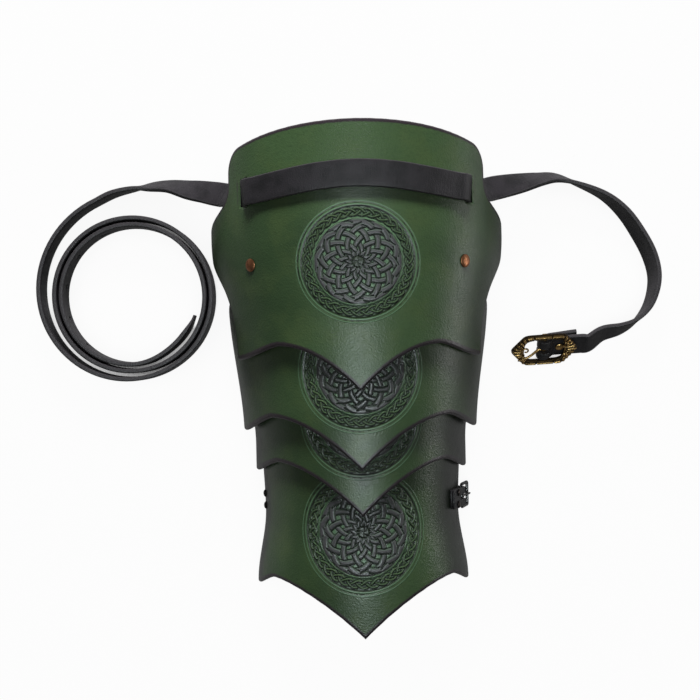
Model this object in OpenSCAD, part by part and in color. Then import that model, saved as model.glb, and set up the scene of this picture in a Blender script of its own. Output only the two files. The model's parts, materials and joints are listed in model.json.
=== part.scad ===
// Leather pauldron: an upper plate and three lames that hang nested under it on two inner straps,
// a long shoulder strap threaded through the upper plate, and an arm strap under the lower lame.
// It lies convex side up. X goes across the arm, Y toward the neck and Z up; Z = 0 is the table.
// The origin is half way along the row of plates, under their crown line. Sizes are in millimetres.

/* [Leather] */
// Thickness of the plate leather
plate_t = 3.5; // [3:0.1:4.5]
// Gap between a plate and the crown of the plate nested under it
crown_gap = 2.5; // [2:0.1:4]
// Gap between a plate's flank and the flank nested under it
side_gap = 3.4; // [2.5:0.1:5]

/* [Upper plate] */
// Length of the upper plate from its neck edge to its tip
upper_len = 198; // [180:1:215]
// Half width of the upper plate at its shoulder lobes
upper_lobe_half_w = 119; // [112:1:126]
// Half width of the upper plate's section at its lower corners
upper_mouth_half_w = 107; // [103:1:111]
// Height of the upper plate's crown line at the neck edge
upper_crown = 107; // [100:1:114]
// Fall of the crown line from the neck edge to the tip
upper_fall = 2; // [0:0.5:6]
// Distance from the neck edge back to the middle of the shoulder lobes
lobe_from_neck = 77.5; // [70:0.5:85]
// How far the neck edge falls back toward its corners
neck_sag = 16; // [8:1:22]
// Corner radius at the ends of the neck edge
neck_corner_r = 15; // [8:1:20]
// Height of the two arches of the lower edge above its tip
upper_arch = 34; // [26:1:40]

/* [Lames] */
// Distance from the upper tip to the second lame's tip
second_step = 59; // [50:1:66]
// Distance from the second lame's tip to the third's
third_step = 35; // [30:1:42]
// Distance from the third lame's tip to the lower lame's
lower_step = 93; // [84:1:102]
// Length of the second and third lames from top edge to tip
lame_len = 134; // [128:1:140]
// Length of the lower lame from top edge to tip
lower_len = 152; // [146:1:160]
// Height of the arches of a lame's lower edge above its tip
lame_arch = 39; // [32:1:44]
// How much the second lame narrows toward its tip
second_taper = 4.6; // [2:0.1:8]
// How much the third lame narrows toward its tip
third_taper = 2.6; // [1:0.1:6]
// How much the lower lame is drawn in at its waist
waist_in = 2.3; // [0:0.1:5]
// How much the lower lame flares from its waist to its lower corners
lower_flare = 7.3; // [2:0.1:10]
// Fall of a lame's crown line over its length
lame_fall = 4.4; // [2:0.2:7]
// How far a lame can tilt inward under the plate above it, in degrees
tilt_max = 18; // [10:1:22]

/* [Hanger straps] */
// Distance of the hanger straps from the crown line at the upper plate's rivets
hanger_x = 80.5; // [74:0.5:86]
// Width of a hanger strap
hanger_w = 14; // [10:1:18]
// Thickness of a hanger strap
hanger_t = 2.5; // [1.8:0.1:3.2]
// Distance from the first hinge line up to the hanger rivets in the upper plate
rivet_over_hinge = 11; // [9:0.5:13]
// Distance from a lame's top edge to its hanger rivets
rivet_from_top = 14; // [12:0.5:18]
// Diameter of a hanger rivet's head
rivet_head_d = 10; // [8:0.5:11]
// Diameter of a hanger rivet's head where a plate lies over it
hidden_head_d = 8; // [6:0.5:9]

/* [Shoulder strap] */
// Width of the shoulder strap
strap_w = 20; // [18:0.5:21]
// Thickness of the shoulder strap
strap_t = 3.6; // [3:0.1:3.7]
// Distance from the neck edge to the middle of the strap slots
slot_from_neck = 48; // [45:0.5:50]
// Angle round the upper plate from its crown to a strap slot
slot_deg = 46.9; // [45:0.1:48]
// Clearance round the strap in its slots
slot_clear = 0.8; // [0.6:0.1:1.2]
// Radius inside the strap coil at its free end
coil_inner_r = 52.4; // [48:0.2:55]
// Step from one turn of the coil to the next
coil_pitch = 5.4; // [4.4:0.05:5.6]
// How far the outer turn stands off from the coil where it arrives
coil_slack = 14; // [9:0.5:17]
// Diameter of the holes punched near the strap's free end
strap_hole_d = 4; // [3:0.5:5]
// Number of holes punched near the strap's free end
strap_holes = 7; // [3:1:9]
// Distance between two punched holes
strap_hole_step = 25; // [20:1:30]

/* [Main buckle] */
// Length of the buckle over its two points
buckle_len = 57; // [52:1:62]
// Width of the buckle over its rails
buckle_w = 32; // [30:0.5:36]
// Thickness of the buckle frame
buckle_t = 4; // [3:0.5:5]
// Length of the straight middle part of the rails
buckle_straight = 35.5; // [32:0.5:38]
// Diameter of the centre bar
bar_d = 4; // [3.4:0.1:4.4]
// Diameter of the prong
prong_d = 2.6; // [2:0.1:3]

/* [Arm strap] */
// Width of the arm strap and its tab
arm_w = 15; // [12:0.5:16]
// Thickness of the arm strap
arm_t = 2.4; // [1.8:0.1:2.6]
// Thickness of the buckle tab's leather
tab_t = 1.8; // [1.4:0.1:2]
// Distance from the lower lame's tip to the middle of the arm strap
arm_from_tip = 98; // [95:0.5:102]
// Distance between the two rivets at each end of the arm strap
arm_rivet_step = 9.6; // [8:0.2:10]
// Diameter of an arm strap rivet's head
arm_head_d = 6; // [5:0.2:6.4]
// Length of the arm buckle between its two bars
arm_buckle_len = 16.8; // [14:0.2:17]
// Diameter of the arm buckle's wire
arm_wire_d = 2.6; // [2:0.1:2.8]

/* [Hidden] */
$fn = 32;

// Colours, as photographed
green = [0.16, 0.27, 0.16];
black = [0.13, 0.13, 0.14];
copper = [0.55, 0.32, 0.18];
bronze = [0.25, 0.20, 0.14];
antique_brass = [0.45, 0.34, 0.16];
steel = [0.42, 0.42, 0.44];

// Places of the plates along the arm: 0 upper plate, 1 second, 2 third and 3 lower lame
upper = 0;
second = 1;
third = 2;
lower = 3;
plate_len = [upper_len, lame_len, lame_len, lower_len];
neck_y = (upper_len + second_step + third_step + lower_step) / 2;
tip_y = [
    neck_y - upper_len,
    neck_y - upper_len - second_step,
    neck_y - upper_len - second_step - third_step,
    -neck_y
];
top_y = [for (k = [upper : lower]) tip_y[k] + plate_len[k]];
lobe_y = neck_y - lobe_from_neck;
slot_y = neck_y - slot_from_neck;
arm_y = tip_y[lower] + arm_from_tip;
waist_y = arm_y - 10;

// Shape of the lower edges: arch height, place of the arch and fall to the corner, plate by plate
arch = [upper_arch, lame_arch, lame_arch, lame_arch + 2];
arch_place = [0.55, 0.56, 0.58, 0.62];
corner_fall = [10, 12.5, 10.5, 12];
top_sag = [neck_sag, 6, 6, 6];
top_corner_r = [neck_corner_r, 10, 10, 10];
low_corner_r = 4;
mouth_y = tip_y[upper] + upper_arch - corner_fall[upper];

// Edge angles round the section, measured from the crown
neck_edge_deg = 56;
mouth_edge_deg = 63;
lobe_edge_deg = 93;
lobe_reach_neck = 16.5;
lobe_reach_mouth = 30;
second_edge_deg = 80;
third_edge_deg = 85;
lower_edge_deg = 90.4;
arm_lift_deg = 3.8;
arm_lift_reach = 13;

function mix(a, b, s) = a + (b - a) * s;
function ease(s) = let (c = min(1, max(0, s))) c * c * (3 - 2 * c);
function bell(d, reach) = exp(-pow(d / reach, 2));
function unit(v) = v / norm(v);

// Half width of plate k's section at place y, as its ellipse would have it at the table
second_low_half_w = upper_mouth_half_w - plate_t - side_gap - second_taper;
third_low_half_w = second_low_half_w - plate_t - side_gap - third_taper;
function half_w(k, y) =
    k == upper ? mix(upper_mouth_half_w, upper_lobe_half_w, ease((y - mouth_y) / (lobe_y - mouth_y))) :
    k == second ? mix(
        second_low_half_w, half_w(upper, top_y[second]) - plate_t - side_gap,
        ease((y - tip_y[second] - 20) / (lame_len - 20))) :
    k == third ? mix(
        third_low_half_w, half_w(second, top_y[third]) - plate_t - side_gap,
        ease((y - tip_y[third] - 50) / (lame_len - 50))) :
    lower_half_w(y);
lower_top_half_w = third_low_half_w - plate_t - side_gap / 3;
lower_waist_half_w = lower_top_half_w - waist_in;
function lower_half_w(y) = y > waist_y ?
    mix(lower_waist_half_w, lower_top_half_w, ease((y - waist_y) / (top_y[lower] - waist_y))) :
    mix(lower_waist_half_w, lower_waist_half_w + lower_flare, ease((waist_y - y) / 58));

// Height of plate k's crown at place y, from its height at the plate's top edge
function fallen(top, fall, from, to, len) = top - fall * (from - to) / len;
second_top_z = fallen(upper_crown, upper_fall, neck_y, top_y[second], upper_len) - plate_t - crown_gap;
third_top_z = fallen(second_top_z, lame_fall, top_y[second], top_y[third], lame_len) - plate_t - crown_gap;
lower_top_z = fallen(third_top_z, lame_fall, top_y[third], top_y[lower], lame_len) - plate_t - crown_gap;
top_z = [upper_crown, second_top_z, third_top_z, lower_top_z];
crown_fall = [upper_fall, lame_fall, lame_fall, lame_fall];
function crown_z(k, y) = fallen(top_z[k], crown_fall[k], top_y[k], y, plate_len[k]);

// Angle round the section at which plate k ends at place y
function edge_deg(k, y) =
    k == upper ? upper_edge_deg(y) :
    k == second ? second_edge_deg :
    k == third ? third_edge_deg :
    min(90, lower_edge_deg - arm_lift_deg * bell(y - arm_y, arm_lift_reach));
function upper_edge_deg(y) =
    let (base = y > lobe_y ? neck_edge_deg : mouth_edge_deg)
    let (reach = y > lobe_y ? lobe_reach_neck : lobe_reach_mouth)
    min(90, mix(base, lobe_edge_deg, bell(y - lobe_y, reach)));

// A point of plate k at t degrees from the crown and place y, d deep under its outer face
function skin(k, t, y, d) =
    let (a = half_w(k, y), b = crown_z(k, y))
    let (n = unit([b * sin(t), a * cos(t)]))
    [a * sin(t) - d * n[0], y, b * cos(t) - d * n[1]];
function skin_normal(k, t, y) = unit(cross(
    skin(k, t + 0.5, y, 0) - skin(k, t - 0.5, y, 0),
    skin(k, t, y + 0.5, 0) - skin(k, t, y - 0.5, 0)));

// Top and lower edge lines over u, which goes from -1 at one side edge to 1 at the other
function round_off(u, r, k, y) =
    let (w = r / (half_w(k, y) * edge_deg(k, y) * PI / 180))
    let (s = max(0, (abs(u) - 1 + w) / w))
    r * (1 - sqrt(max(0, 1 - s * s)));
function top_line(k, u) = top_y[k] - top_sag[k] * u * u - round_off(u, top_corner_r[k], k, top_y[k] - 20);
function fall_share(u, p) = (sin(90 * u) - sin(90 * p)) / (1 - sin(90 * p));
function arch_line(k, u) = u < arch_place[k] ?
    arch[k] * (1 - pow(1 - u / arch_place[k], 2)) :
    arch[k] - corner_fall[k] * pow(fall_share(u, arch_place[k]), 1.4);
function low_line(k, u) =
    tip_y[k] + arch_line(k, abs(u)) + round_off(u, low_corner_r, k, tip_y[k] + arch[k] - corner_fall[k]);

// A closed slab between two grids of points that have the same rows and columns
function grid_index(rows, cols, side, r, c) = side * rows * cols + r * cols + c;
function quad(a, b, c, d) = [[a, b, c], [a, c, d]];
module slab(outer, inner) {
    rows = len(outer);
    cols = len(outer[0]);
    last_r = rows - 1;
    last_c = cols - 1;
    function at(s, r, c) = grid_index(rows, cols, s, r, c);
    faces = concat(
        [for (r = [0 : last_r - 1], c = [0 : last_c - 1])
            each quad(at(0, r, c), at(0, r + 1, c), at(0, r + 1, c + 1), at(0, r, c + 1))],
        [for (r = [0 : last_r - 1], c = [0 : last_c - 1])
            each quad(at(1, r, c), at(1, r, c + 1), at(1, r + 1, c + 1), at(1, r + 1, c))],
        [for (c = [0 : last_c - 1])
            each quad(at(0, 0, c), at(0, 0, c + 1), at(1, 0, c + 1), at(1, 0, c))],
        [for (c = [0 : last_c - 1])
            each quad(at(0, last_r, c + 1), at(0, last_r, c), at(1, last_r, c), at(1, last_r, c + 1))],
        [for (r = [0 : last_r - 1])
            each quad(at(0, r + 1, 0), at(0, r, 0), at(1, r, 0), at(1, r + 1, 0))],
        [for (r = [0 : last_r - 1])
            each quad(at(0, r, last_c), at(0, r + 1, last_c), at(1, r + 1, last_c), at(1, r, last_c))]
    );
    points = concat([for (row = outer) each row], [for (row = inner) each row]);
    polyhedron(points = points, faces = faces);
}

// A plate's leather: columns crowd toward the side edges, where the corners are round
module plate_leather(k, cols, rows) {
    us = [for (i = [-cols : cols]) sin(90 * i / cols)];
    function place(u, r) = mix(top_line(k, u), low_line(k, u), r / rows);
    outer = [for (r = [0 : rows]) [for (u = us)
        let (y = place(u, r)) skin(k, u * edge_deg(k, y), y, 0)]];
    inner = [for (r = [0 : rows]) [for (u = us)
        let (y = place(u, r)) skin(k, u * edge_deg(k, y), y, plate_t)]];
    slab(outer, inner);
}

// Puts children on plate k's outer face, their Z along its outward normal
module on_skin(k, t, y) {
    n = skin_normal(k, t, y);
    translate(skin(k, t, y, 0)) rotate([0, acos(n[2]), atan2(n[1], n[0])]) children();
}

// Hanger straps: their angle, hinge lines and rivet places
seat_gap = 0.4;
hinge_gap = 0.3;
ramp_len = 10.5;
hinge_over_top = 9.5;
strap_end = 9;
hanger_rivet_y = [
    top_y[second] + hinge_over_top + rivet_over_hinge,
    top_y[second] - rivet_from_top,
    top_y[third] - rivet_from_top,
    top_y[lower] - rivet_from_top
];
hanger_deg = asin(hanger_x / half_w(upper, hanger_rivet_y[upper]));
hinge_y = concat([neck_y], [for (k = [second : lower]) top_y[k] + hinge_over_top]);
hanger_depth = plate_t + seat_gap;
function hinge_z(k) = skin(k - 1, hanger_deg, hinge_y[k], hanger_depth + hanger_t / 2)[2];
function hanger_point(k, t, y, d) = k == upper ?
    skin(upper, t, y, d) :
    let (s = ease((hinge_y[k] - y) / ramp_len))
    mix(skin(k - 1, t, y, d), skin(k, t, y, d), s);
hanger_half_deg = atan(hanger_w / 2 / half_w(second, top_y[second]));
hanger_end_y = [hanger_rivet_y[upper] + strap_end, 0, 0, hanger_rivet_y[lower] - strap_end];

// The end over a hinge line is cut back below the line, so that the next strap end can turn under it
function hanger_low_y(k, t) = k == lower ?
    hanger_end_y[lower] :
    let (z = skin(k, t, hinge_y[k + 1], hanger_depth + hanger_t)[2])
    hinge_y[k + 1] + hinge_gap + max(0, hinge_z(k + 1) - z) * tan(tilt_max + 2);
function hanger_high_y(k) = k == upper ? hanger_end_y[upper] : hinge_y[k] - hinge_gap;
module hanger_strap(k, side) {
    cols = 4;
    ramp_rows = k == upper ? 0 : 5;
    rows = ramp_rows + 5;
    ts = [for (i = [0 : cols]) side * hanger_deg + hanger_half_deg * (2 * i / cols - 1)];
    high = hanger_high_y(k);
    ramp_low = k == upper ? high : hinge_y[k] - ramp_len;
    function place(t, r) = r < ramp_rows ?
        mix(high, ramp_low, r / ramp_rows) :
        mix(ramp_low, hanger_low_y(k, t), (r - ramp_rows) / (rows - ramp_rows));
    outer = [for (r = [0 : rows]) [for (t = ts) hanger_point(k, t, place(t, r), hanger_depth)]];
    inner = [for (r = [0 : rows]) [for (t = ts) hanger_point(k, t, place(t, r), hanger_depth + hanger_t)]];
    color(black) difference() {
        slab(outer, inner);
        on_skin(k, side * hanger_deg, hanger_rivet_y[k]) rivet_bore(hanger_post_r);
    }
}

// Rivets: head and post are one piece, clenched over a loose burr on the inside
hanger_post_r = 1.5;
arm_post_r = 1.2;
bore_clear = 0.1;
burr_t = 1;
burr_gap = 0.25;
bore_reach = 40;
module rivet_bore(post_r) {
    translate([0, 0, -bore_reach / 2]) cylinder(r = post_r + bore_clear, h = bore_reach);
}
module rivet(head_d, head_h, post_r, grip) {
    clench_z = -grip - burr_gap - burr_t - burr_gap / 2;
    rotate_extrude() polygon(concat(
        [[0, clench_z - 0.8], [post_r + 0.4, clench_z - 0.8], [post_r + 0.7, clench_z], [post_r, clench_z]],
        [[post_r, 0.02], [head_d / 2, 0.02]],
        [for (a = [20 : 14 : 90]) [head_d / 2 * cos(a), 0.02 + head_h * sin(a)]]));
}
module burr(burr_d, post_r, grip) {
    translate([0, 0, -grip - burr_gap - burr_t]) difference() {
        cylinder(d = burr_d, h = burr_t);
        translate([0, 0, -1]) cylinder(r = post_r + bore_clear, h = burr_t + 2);
    }
}
hanger_grip = hanger_depth + hanger_t;
module hanger_rivets(k, head_d, head_h) {
    color(copper) for (side = [-1, 1])
        on_skin(k, side * hanger_deg, hanger_rivet_y[k]) rivet(head_d, head_h, hanger_post_r, hanger_grip);
}
module hanger_burrs(k) {
    color(copper) for (side = [-1, 1])
        on_skin(k, side * hanger_deg, hanger_rivet_y[k]) burr(hidden_head_d, hanger_post_r, hanger_grip);
}
module hanger_bores(k) {
    for (side = [-1, 1]) on_skin(k, side * hanger_deg, hanger_rivet_y[k]) rivet_bore(hanger_post_r);
}

// Route of the shoulder strap. Each stop is [x, y, z, roll]: roll 0 lies grain side up with the
// strap's first edge toward the neck, and roll 90 stands on that edge with the grain side outward.
slot_cross_deg = 3.6;
slot_in_depth = 6;
slot_out_depth = -2.6;
over_depth = -strap_t / 2 - 0.6;
bow = 4;
run_rise = 0.26;
function front_y(t) =
    slot_y + bow * (1 + cos(180 * min(1, abs(t) / slot_deg)))
    + run_rise * max(0, abs(t) - slot_deg - slot_cross_deg);
function over_stop(t, d, roll) = concat(skin(upper, t, front_y(t), d), [roll]);
function standing_z(roll) = strap_w / 2 * sin(roll) + strap_t / 2 * cos(roll);
function table_stop(x, y, roll) = [x, y, standing_z(roll), roll];
coil_start = 110;
coil_end = 1062;
coil_stand_off = 9.7;
coil_turns_r = coil_inner_r + strap_t + coil_pitch * (coil_end - 360) / 360;
coil_x = -upper_mouth_half_w - coil_stand_off - coil_turns_r;
coil_y = 72;
coil_slack_deg = 200;
coil_tail = 2.5;
coil_tail_deg = 45;
function coil_r(q) =
    coil_inner_r + strap_t / 2 + coil_pitch * (coil_end - q) / 360
    + coil_slack * pow(max(0, 1 - (q - coil_start) / coil_slack_deg), 1.6)
    - coil_tail * ease((q - coil_end + 75) / coil_tail_deg);
function coil_point(q) = [coil_x + coil_r(q) * cos(q), coil_y + coil_r(q) * sin(q)];
function coil_run(q) = unit(coil_point(q - 0.5) - coil_point(q + 0.5));
coil_gate = coil_point(coil_start);
coil_gate_run = coil_run(coil_start);
slot_sides = [for (side = [-1, 1]) [
    over_stop(side * (slot_deg + slot_cross_deg), slot_in_depth, 0),
    over_stop(side * (slot_deg - slot_cross_deg), slot_out_depth, 0)]];
left_run = [
    table_stop(coil_gate[0], coil_gate[1], 90),
    table_stop(-197.4, 156.1, 90),
    table_stop(-180, 160, 84),
    [-165.8, 161.2, 11.5, 67],
    [-149.7, 160.6, 15, 57],
    [-133.5, 156.6, 20, 36],
    [-120.6, 153.9, 24, 24],
    [-112.5, 151.8, 28, 14]
];
front_run = concat(
    [over_stop(-70, 8, 10), over_stop(-64, 7.5, 6), over_stop(-57, 6.6, 2)],
    slot_sides[0],
    [for (t = [-38 : 12.6 : 38]) over_stop(t, over_depth, 0)],
    [slot_sides[1][1], slot_sides[1][0]],
    [over_stop(57, 6.6, 2), over_stop(64, 7.5, 6), over_stop(70, 8, 10)]
);
right_run = [
    [112.5, 152, 28, 14],
    [131, 156.2, 21, 33],
    [149, 160.2, 15.5, 55],
    [164, 161.6, 11.8, 67],
    table_stop(181, 156.7, 81),
    table_stop(202.8, 146.4, 92),
    table_stop(218.8, 132.2, 101),
    table_stop(231, 114, 105),
    table_stop(239, 97.8, 105),
    table_stop(242.7, 81.8, 101),
    table_stop(241.2, 67.4, 97),
    table_stop(235.6, 54, 91),
    table_stop(225.6, 43.2, 80),
    table_stop(214, 37.4, 68),
    table_stop(199, 33.8, 57)
];

// The main buckle's own frame: X along it toward its strap, Y along its bar, Z away from the leather
buckle_x = 150.6;
buckle_y = 21.5;
buckle_roll = 46;
buckle_yaw = 2.9;
rail_w = 3.8;
bar_drop = 3;
bar_clear = 0.08;
strap_gap = 0.5;
fold_top_z = -buckle_t / 2 - strap_gap - strap_t / 2;
fold_low_z = fold_top_z - strap_t - 0.1;
buckle_z = strap_w / 2 * sin(buckle_roll) + (strap_t / 2 - fold_low_z) * cos(buckle_roll) + 0.1;
module at_buckle() {
    translate([buckle_x, buckle_y, buckle_z]) rotate([buckle_roll, 0, buckle_yaw]) children();
}
function yawed(v) = [
    v[0] * cos(buckle_yaw) - v[1] * sin(buckle_yaw),
    v[0] * sin(buckle_yaw) + v[1] * cos(buckle_yaw),
    v[2]];
function from_buckle(x, z) =
    [buckle_x, buckle_y, buckle_z] + yawed([x, -z * sin(buckle_roll), z * cos(buckle_roll)]);
fold_far = buckle_len / 2 + 2.5;
buckle_gate = concat(from_buckle(fold_far, fold_top_z), [buckle_roll]);
buckle_lead = concat(from_buckle(fold_far + 6, fold_top_z), [buckle_roll + 4]);
route = concat(left_run, front_run, right_run, [buckle_lead, buckle_gate]);

// A smooth curve through the stops, whose ends run straight into the coil and the buckle fold
route_last = len(route) - 1;
gate_step = 12;
route_before = concat(
    [for (i = [0 : 1]) route[1][i] - 2 * gate_step * coil_gate_run[i]], [route[1][2], route[1][3]]);
route_after = concat(from_buckle(fold_far - 9, fold_top_z), [buckle_roll]);
function stop(i) = i < 0 ? route_before : i > route_last ? route_after : route[i];
function curve(i, s) =
    let (a = stop(i - 1), b = stop(i), c = stop(i + 1), d = stop(i + 2))
    0.5 * (2 * b + (c - a) * s + (2 * a - 5 * b + 4 * c - d) * s * s + (3 * b - a - 3 * c + d) * s * s * s);
function curve_run(i, s) =
    let (a = stop(i - 1), b = stop(i), c = stop(i + 1), d = stop(i + 2))
    0.5 * ((c - a) + 2 * (2 * a - 5 * b + 4 * c - d) * s + 3 * (3 * b - a - 3 * c + d) * s * s);
function ring(place, run) =
    let (p = [place[0], place[1], place[2]], t = unit([run[0], run[1], run[2]]))
    let (flat = unit(cross(t, [0, 0, 1])), rise = cross(flat, t))
    let (w = strap_w / 2 * (cos(place[3]) * flat + sin(place[3]) * rise))
    let (n = strap_t / 2 * unit(cross(w, t)))
    [p + w + n, p - w + n, p - w - n, p + w - n];
rings_per_span = 2;
strap_rings = concat(
    [for (i = [0 : route_last - 1], k = [0 : rings_per_span - 1])
        ring(curve(i, k / rings_per_span), curve_run(i, k / rings_per_span))],
    [ring(curve(route_last - 1, 1), curve_run(route_last - 1, 1))]);

module shoulder_strap() {
    last = len(strap_rings) - 1;
    sides = [for (r = [0 : last - 1], c = [0 : 3])
        let (a = 4 * r + c, b = 4 * r + (c + 1) % 4)
        each quad(a, b, b + 4, a + 4)];
    color(black) polyhedron(
        points = [for (one = strap_rings) each one],
        faces = concat(sides, quad(3, 2, 1, 0), quad(4 * last, 4 * last + 1, 4 * last + 2, 4 * last + 3)));
}

// The coil stands on its edge and turns in toward the strap's free end
coil_step = 10;
coil_stops = concat([for (q = [coil_start : coil_step : coil_end - 1]) q], [coil_end]);
function coil_side(q, d) = coil_point(q) + d * [coil_run(q)[1], -coil_run(q)[0]];
function coil_along(distance) = coil_end - distance / coil_r(coil_end) * 180 / PI;
first_hole = 55;
module strap_coil() {
    outline = concat(
        [for (q = coil_stops) coil_side(q, -strap_t / 2)],
        [for (i = [len(coil_stops) - 1 : -1 : 0]) coil_side(coil_stops[i], strap_t / 2)]);
    color(black) difference() {
        linear_extrude(strap_w) polygon(outline);
        for (i = [0 : strap_holes - 1]) {
            q = coil_along(first_hole + i * strap_hole_step);
            translate([coil_point(q)[0], coil_point(q)[1], strap_w / 2]) rotate([0, 90, q])
                cylinder(d = strap_hole_d, h = strap_t + 0.5, center = true);
        }
        coil_tip_cut();
    }
}

// The free end is clipped at both corners
module coil_tip_cut() {
    tip = coil_point(coil_end);
    for (side = [-1, 1])
        translate([tip[0], tip[1], strap_w / 2 * (1 + side)]) rotate([0, 0, coil_end])
            rotate([45, 0, 0]) cube([strap_t * 3, 7, 7], center = true);
}

// Least gap between turns, measured between points of the middle line that are over half a turn apart
coil_gaps = [for (i = [0 : len(coil_stops) - 1], j = [0 : len(coil_stops) - 1])
    if (coil_stops[j] - coil_stops[i] > 180)
        norm(coil_point(coil_stops[i]) - coil_point(coil_stops[j])) - strap_t];
echo("least gap of the strap coil to itself", min(coil_gaps));

// A flat piece whose outline lies across the bar of a buckle or across the arm
module across(mid, width, outline) {
    translate([0, mid + width / 2, 0]) rotate([90, 0, 0]) linear_extrude(width) polygon(outline);
}

// The strap's end folds round the buckle's bar, and a rivet holds it back on itself
fold_r = bar_d / 2 + bar_clear + strap_t / 2;
fold_rivet_x = 12.9;
fold_head_d = 7.4;
fold_line = concat(
    [[fold_far, fold_top_z], [9.1, fold_top_z], [8.3, fold_top_z], [7, fold_top_z + 0.45], [5.2, fold_top_z + 1.8]],
    [for (a = [50 : 20 : 250]) [fold_r * cos(a), -bar_drop + fold_r * sin(a)]],
    [[4, fold_low_z + 0.4], [8, fold_low_z], [fold_far + 2, fold_low_z]]);
function line_run(line, i) =
    unit(line[min(len(line) - 1, i + 1)] - line[max(0, i - 1)]);
function line_side(line, i, d) =
    let (run = line_run(line, i))
    let (next = unit(line[min(len(line) - 1, i + 1)] - line[min(len(line) - 2, i)]))
    line[i] + d / max(0.5, run * next) * [run[1], -run[0]];
function ribbon(line, t) = concat(
    [for (i = [0 : len(line) - 1]) line_side(line, i, t / 2)],
    [for (i = [len(line) - 1 : -1 : 0]) line_side(line, i, -t / 2)]);
prong_ring_r = bar_d / 2 + bar_clear + 1.3;
prong_w = 4;
prong_gap = 0.3;
module buckle_fold() {
    color(black) at_buckle() difference() {
        across(0, strap_w, ribbon(fold_line, strap_t));
        translate([0, 0, -bar_drop]) rotate([90, 0, 0])
            cylinder(r = bar_d / 2 + bar_clear, h = strap_w + 2, center = true);
        translate([-7.5, -prong_w / 2 - 0.4, -bar_drop - 7]) cube([12.5, prong_w + 0.8, 14]);
        translate([fold_rivet_x, 0, 0]) rivet_bore(arm_post_r);
    }
}
fold_grip = 2 * strap_t + 0.1;
module at_fold_rivet() {
    at_buckle() translate([fold_rivet_x, 0, fold_top_z + strap_t / 2]) children();
}
module fold_rivet() {
    color(antique_brass) at_fold_rivet() rivet(fold_head_d, 1.8, arm_post_r, fold_grip);
}
module fold_burr() {
    color(antique_brass) at_fold_rivet() burr(7, arm_post_r, fold_grip);
}

// The cast frame: an eight-cornered ring with pointed ends and a centre bar set below its rails
module buckle_outline(grow) {
    half = buckle_straight / 2 + grow;
    side = buckle_w / 2 + grow;
    far = buckle_len / 2 + grow;
    polygon([
        [-far, 0], [-half - 4, -side * 0.62], [-half, -side], [half, -side], [half + 4, -side * 0.62],
        [far, 0], [half + 4, side * 0.62], [half, side], [-half, side], [-half - 4, side * 0.62]]);
}
opening_half = buckle_straight / 2 - 1;
opening_side = buckle_w / 2 - rail_w;
opening_r = 6;
module buckle_opening() {
    for (x = [-1, 1], y = [-1, 1])
        translate([x * (opening_half - opening_r), y * (opening_side - opening_r)]) circle(opening_r);
    square([2 * (opening_half - opening_r), 2 * opening_side], center = true);
    square([2 * opening_half, 2 * (opening_side - opening_r)], center = true);
}
module buckle_frame() {
    lug_w = rail_w / 2;
    bar_len = 2 * opening_side + lug_w;
    color(antique_brass) at_buckle() {
        difference() {
            translate([0, 0, -buckle_t / 2]) linear_extrude(buckle_t) buckle_outline(0);
            translate([0, 0, -buckle_t]) linear_extrude(2 * buckle_t) buckle_opening();
        }
        translate([0, 0, -bar_drop]) rotate([90, 0, 0]) cylinder(d = bar_d, h = bar_len, center = true);
        for (side = [-1, 1])
            translate([-bar_d / 2, side * (opening_side + lug_w / 2) - lug_w / 2, -bar_drop - bar_d / 2])
                cube([bar_d, lug_w, bar_drop + bar_d / 2]);
    }
}

// The prong's ring turns on the centre bar, and its finger lies skewed on the frame's free end
prong_skew = 24;
prong_tip_x = -21;
module buckle_prong() {
    r = prong_d / 2;
    rest_z = buckle_t / 2 + r + prong_gap;
    start_x = -prong_ring_r + 0.4;
    bend_x = -opening_half + 2;
    function finger_y(x) = x * tan(prong_skew) * 0.9;
    module knuckle(x, z, size) {
        translate([x, finger_y(x - start_x), z]) sphere(size);
    }
    color(antique_brass) at_buckle() {
        difference() {
            translate([0, 0, -bar_drop]) rotate([90, 0, 0]) cylinder(r = prong_ring_r, h = prong_w, center = true);
            translate([0, 0, -bar_drop]) rotate([90, 0, 0])
                cylinder(r = bar_d / 2 + bar_clear, h = prong_w + 2, center = true);
        }
        hull() {
            knuckle(start_x, -bar_drop + 1.5, r * 0.9);
            knuckle(bend_x, rest_z, r);
        }
        hull() {
            knuckle(bend_x, rest_z, r);
            knuckle(prong_tip_x, rest_z, r * 0.85);
        }
    }
}

// Arm strap: riveted inside the left flank, it lies under the arm opening and ends past the right edge
arm_seat = 0.2;
arm_rivet_deg = 78;
arm_depth = plate_t + arm_seat + arm_t / 2;
arm_tip_x = lower_waist_half_w + 4.9;
arm_hole_d = 3.2;
arm_holes = 5;
arm_hole_step = 18;
function arm_section(t, d) = let (p = skin(lower, t, arm_y, d)) [p[0], p[2]];
arm_bend_r = 5.5;
arm_low = arm_section(-84, arm_depth);
arm_line = concat(
    [for (t = [-58 : -5.2 : -84]) arm_section(t, arm_depth)],
    [for (a = [200 : 14 : 270])
        [arm_low[0] + arm_bend_r + arm_bend_r * cos(a), arm_bend_r + arm_t / 2 + arm_bend_r * sin(a)]],
    [[arm_low[0] + 12, arm_t / 2], [arm_tip_x, arm_t / 2]]);
module arm_strap() {
    color(black) difference() {
        across(arm_y, arm_w, ribbon(arm_line, arm_t));
        for (side = [-1, 1])
            on_skin(lower, -arm_rivet_deg, arm_y + side * arm_rivet_step / 2) rivet_bore(arm_post_r);
        for (i = [1 : arm_holes])
            translate([arm_tip_x - 8 - i * arm_hole_step, arm_y, -1]) cylinder(d = arm_hole_d, h = arm_t + 2);
        for (side = [-1, 1])
            translate([arm_tip_x, arm_y + side * arm_w / 2, 0]) rotate([0, 0, 45])
                cube([6, 6, 4 * arm_t], center = true);
    }
}
arm_grip = plate_t + arm_seat + arm_t + arm_seat;
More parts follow.
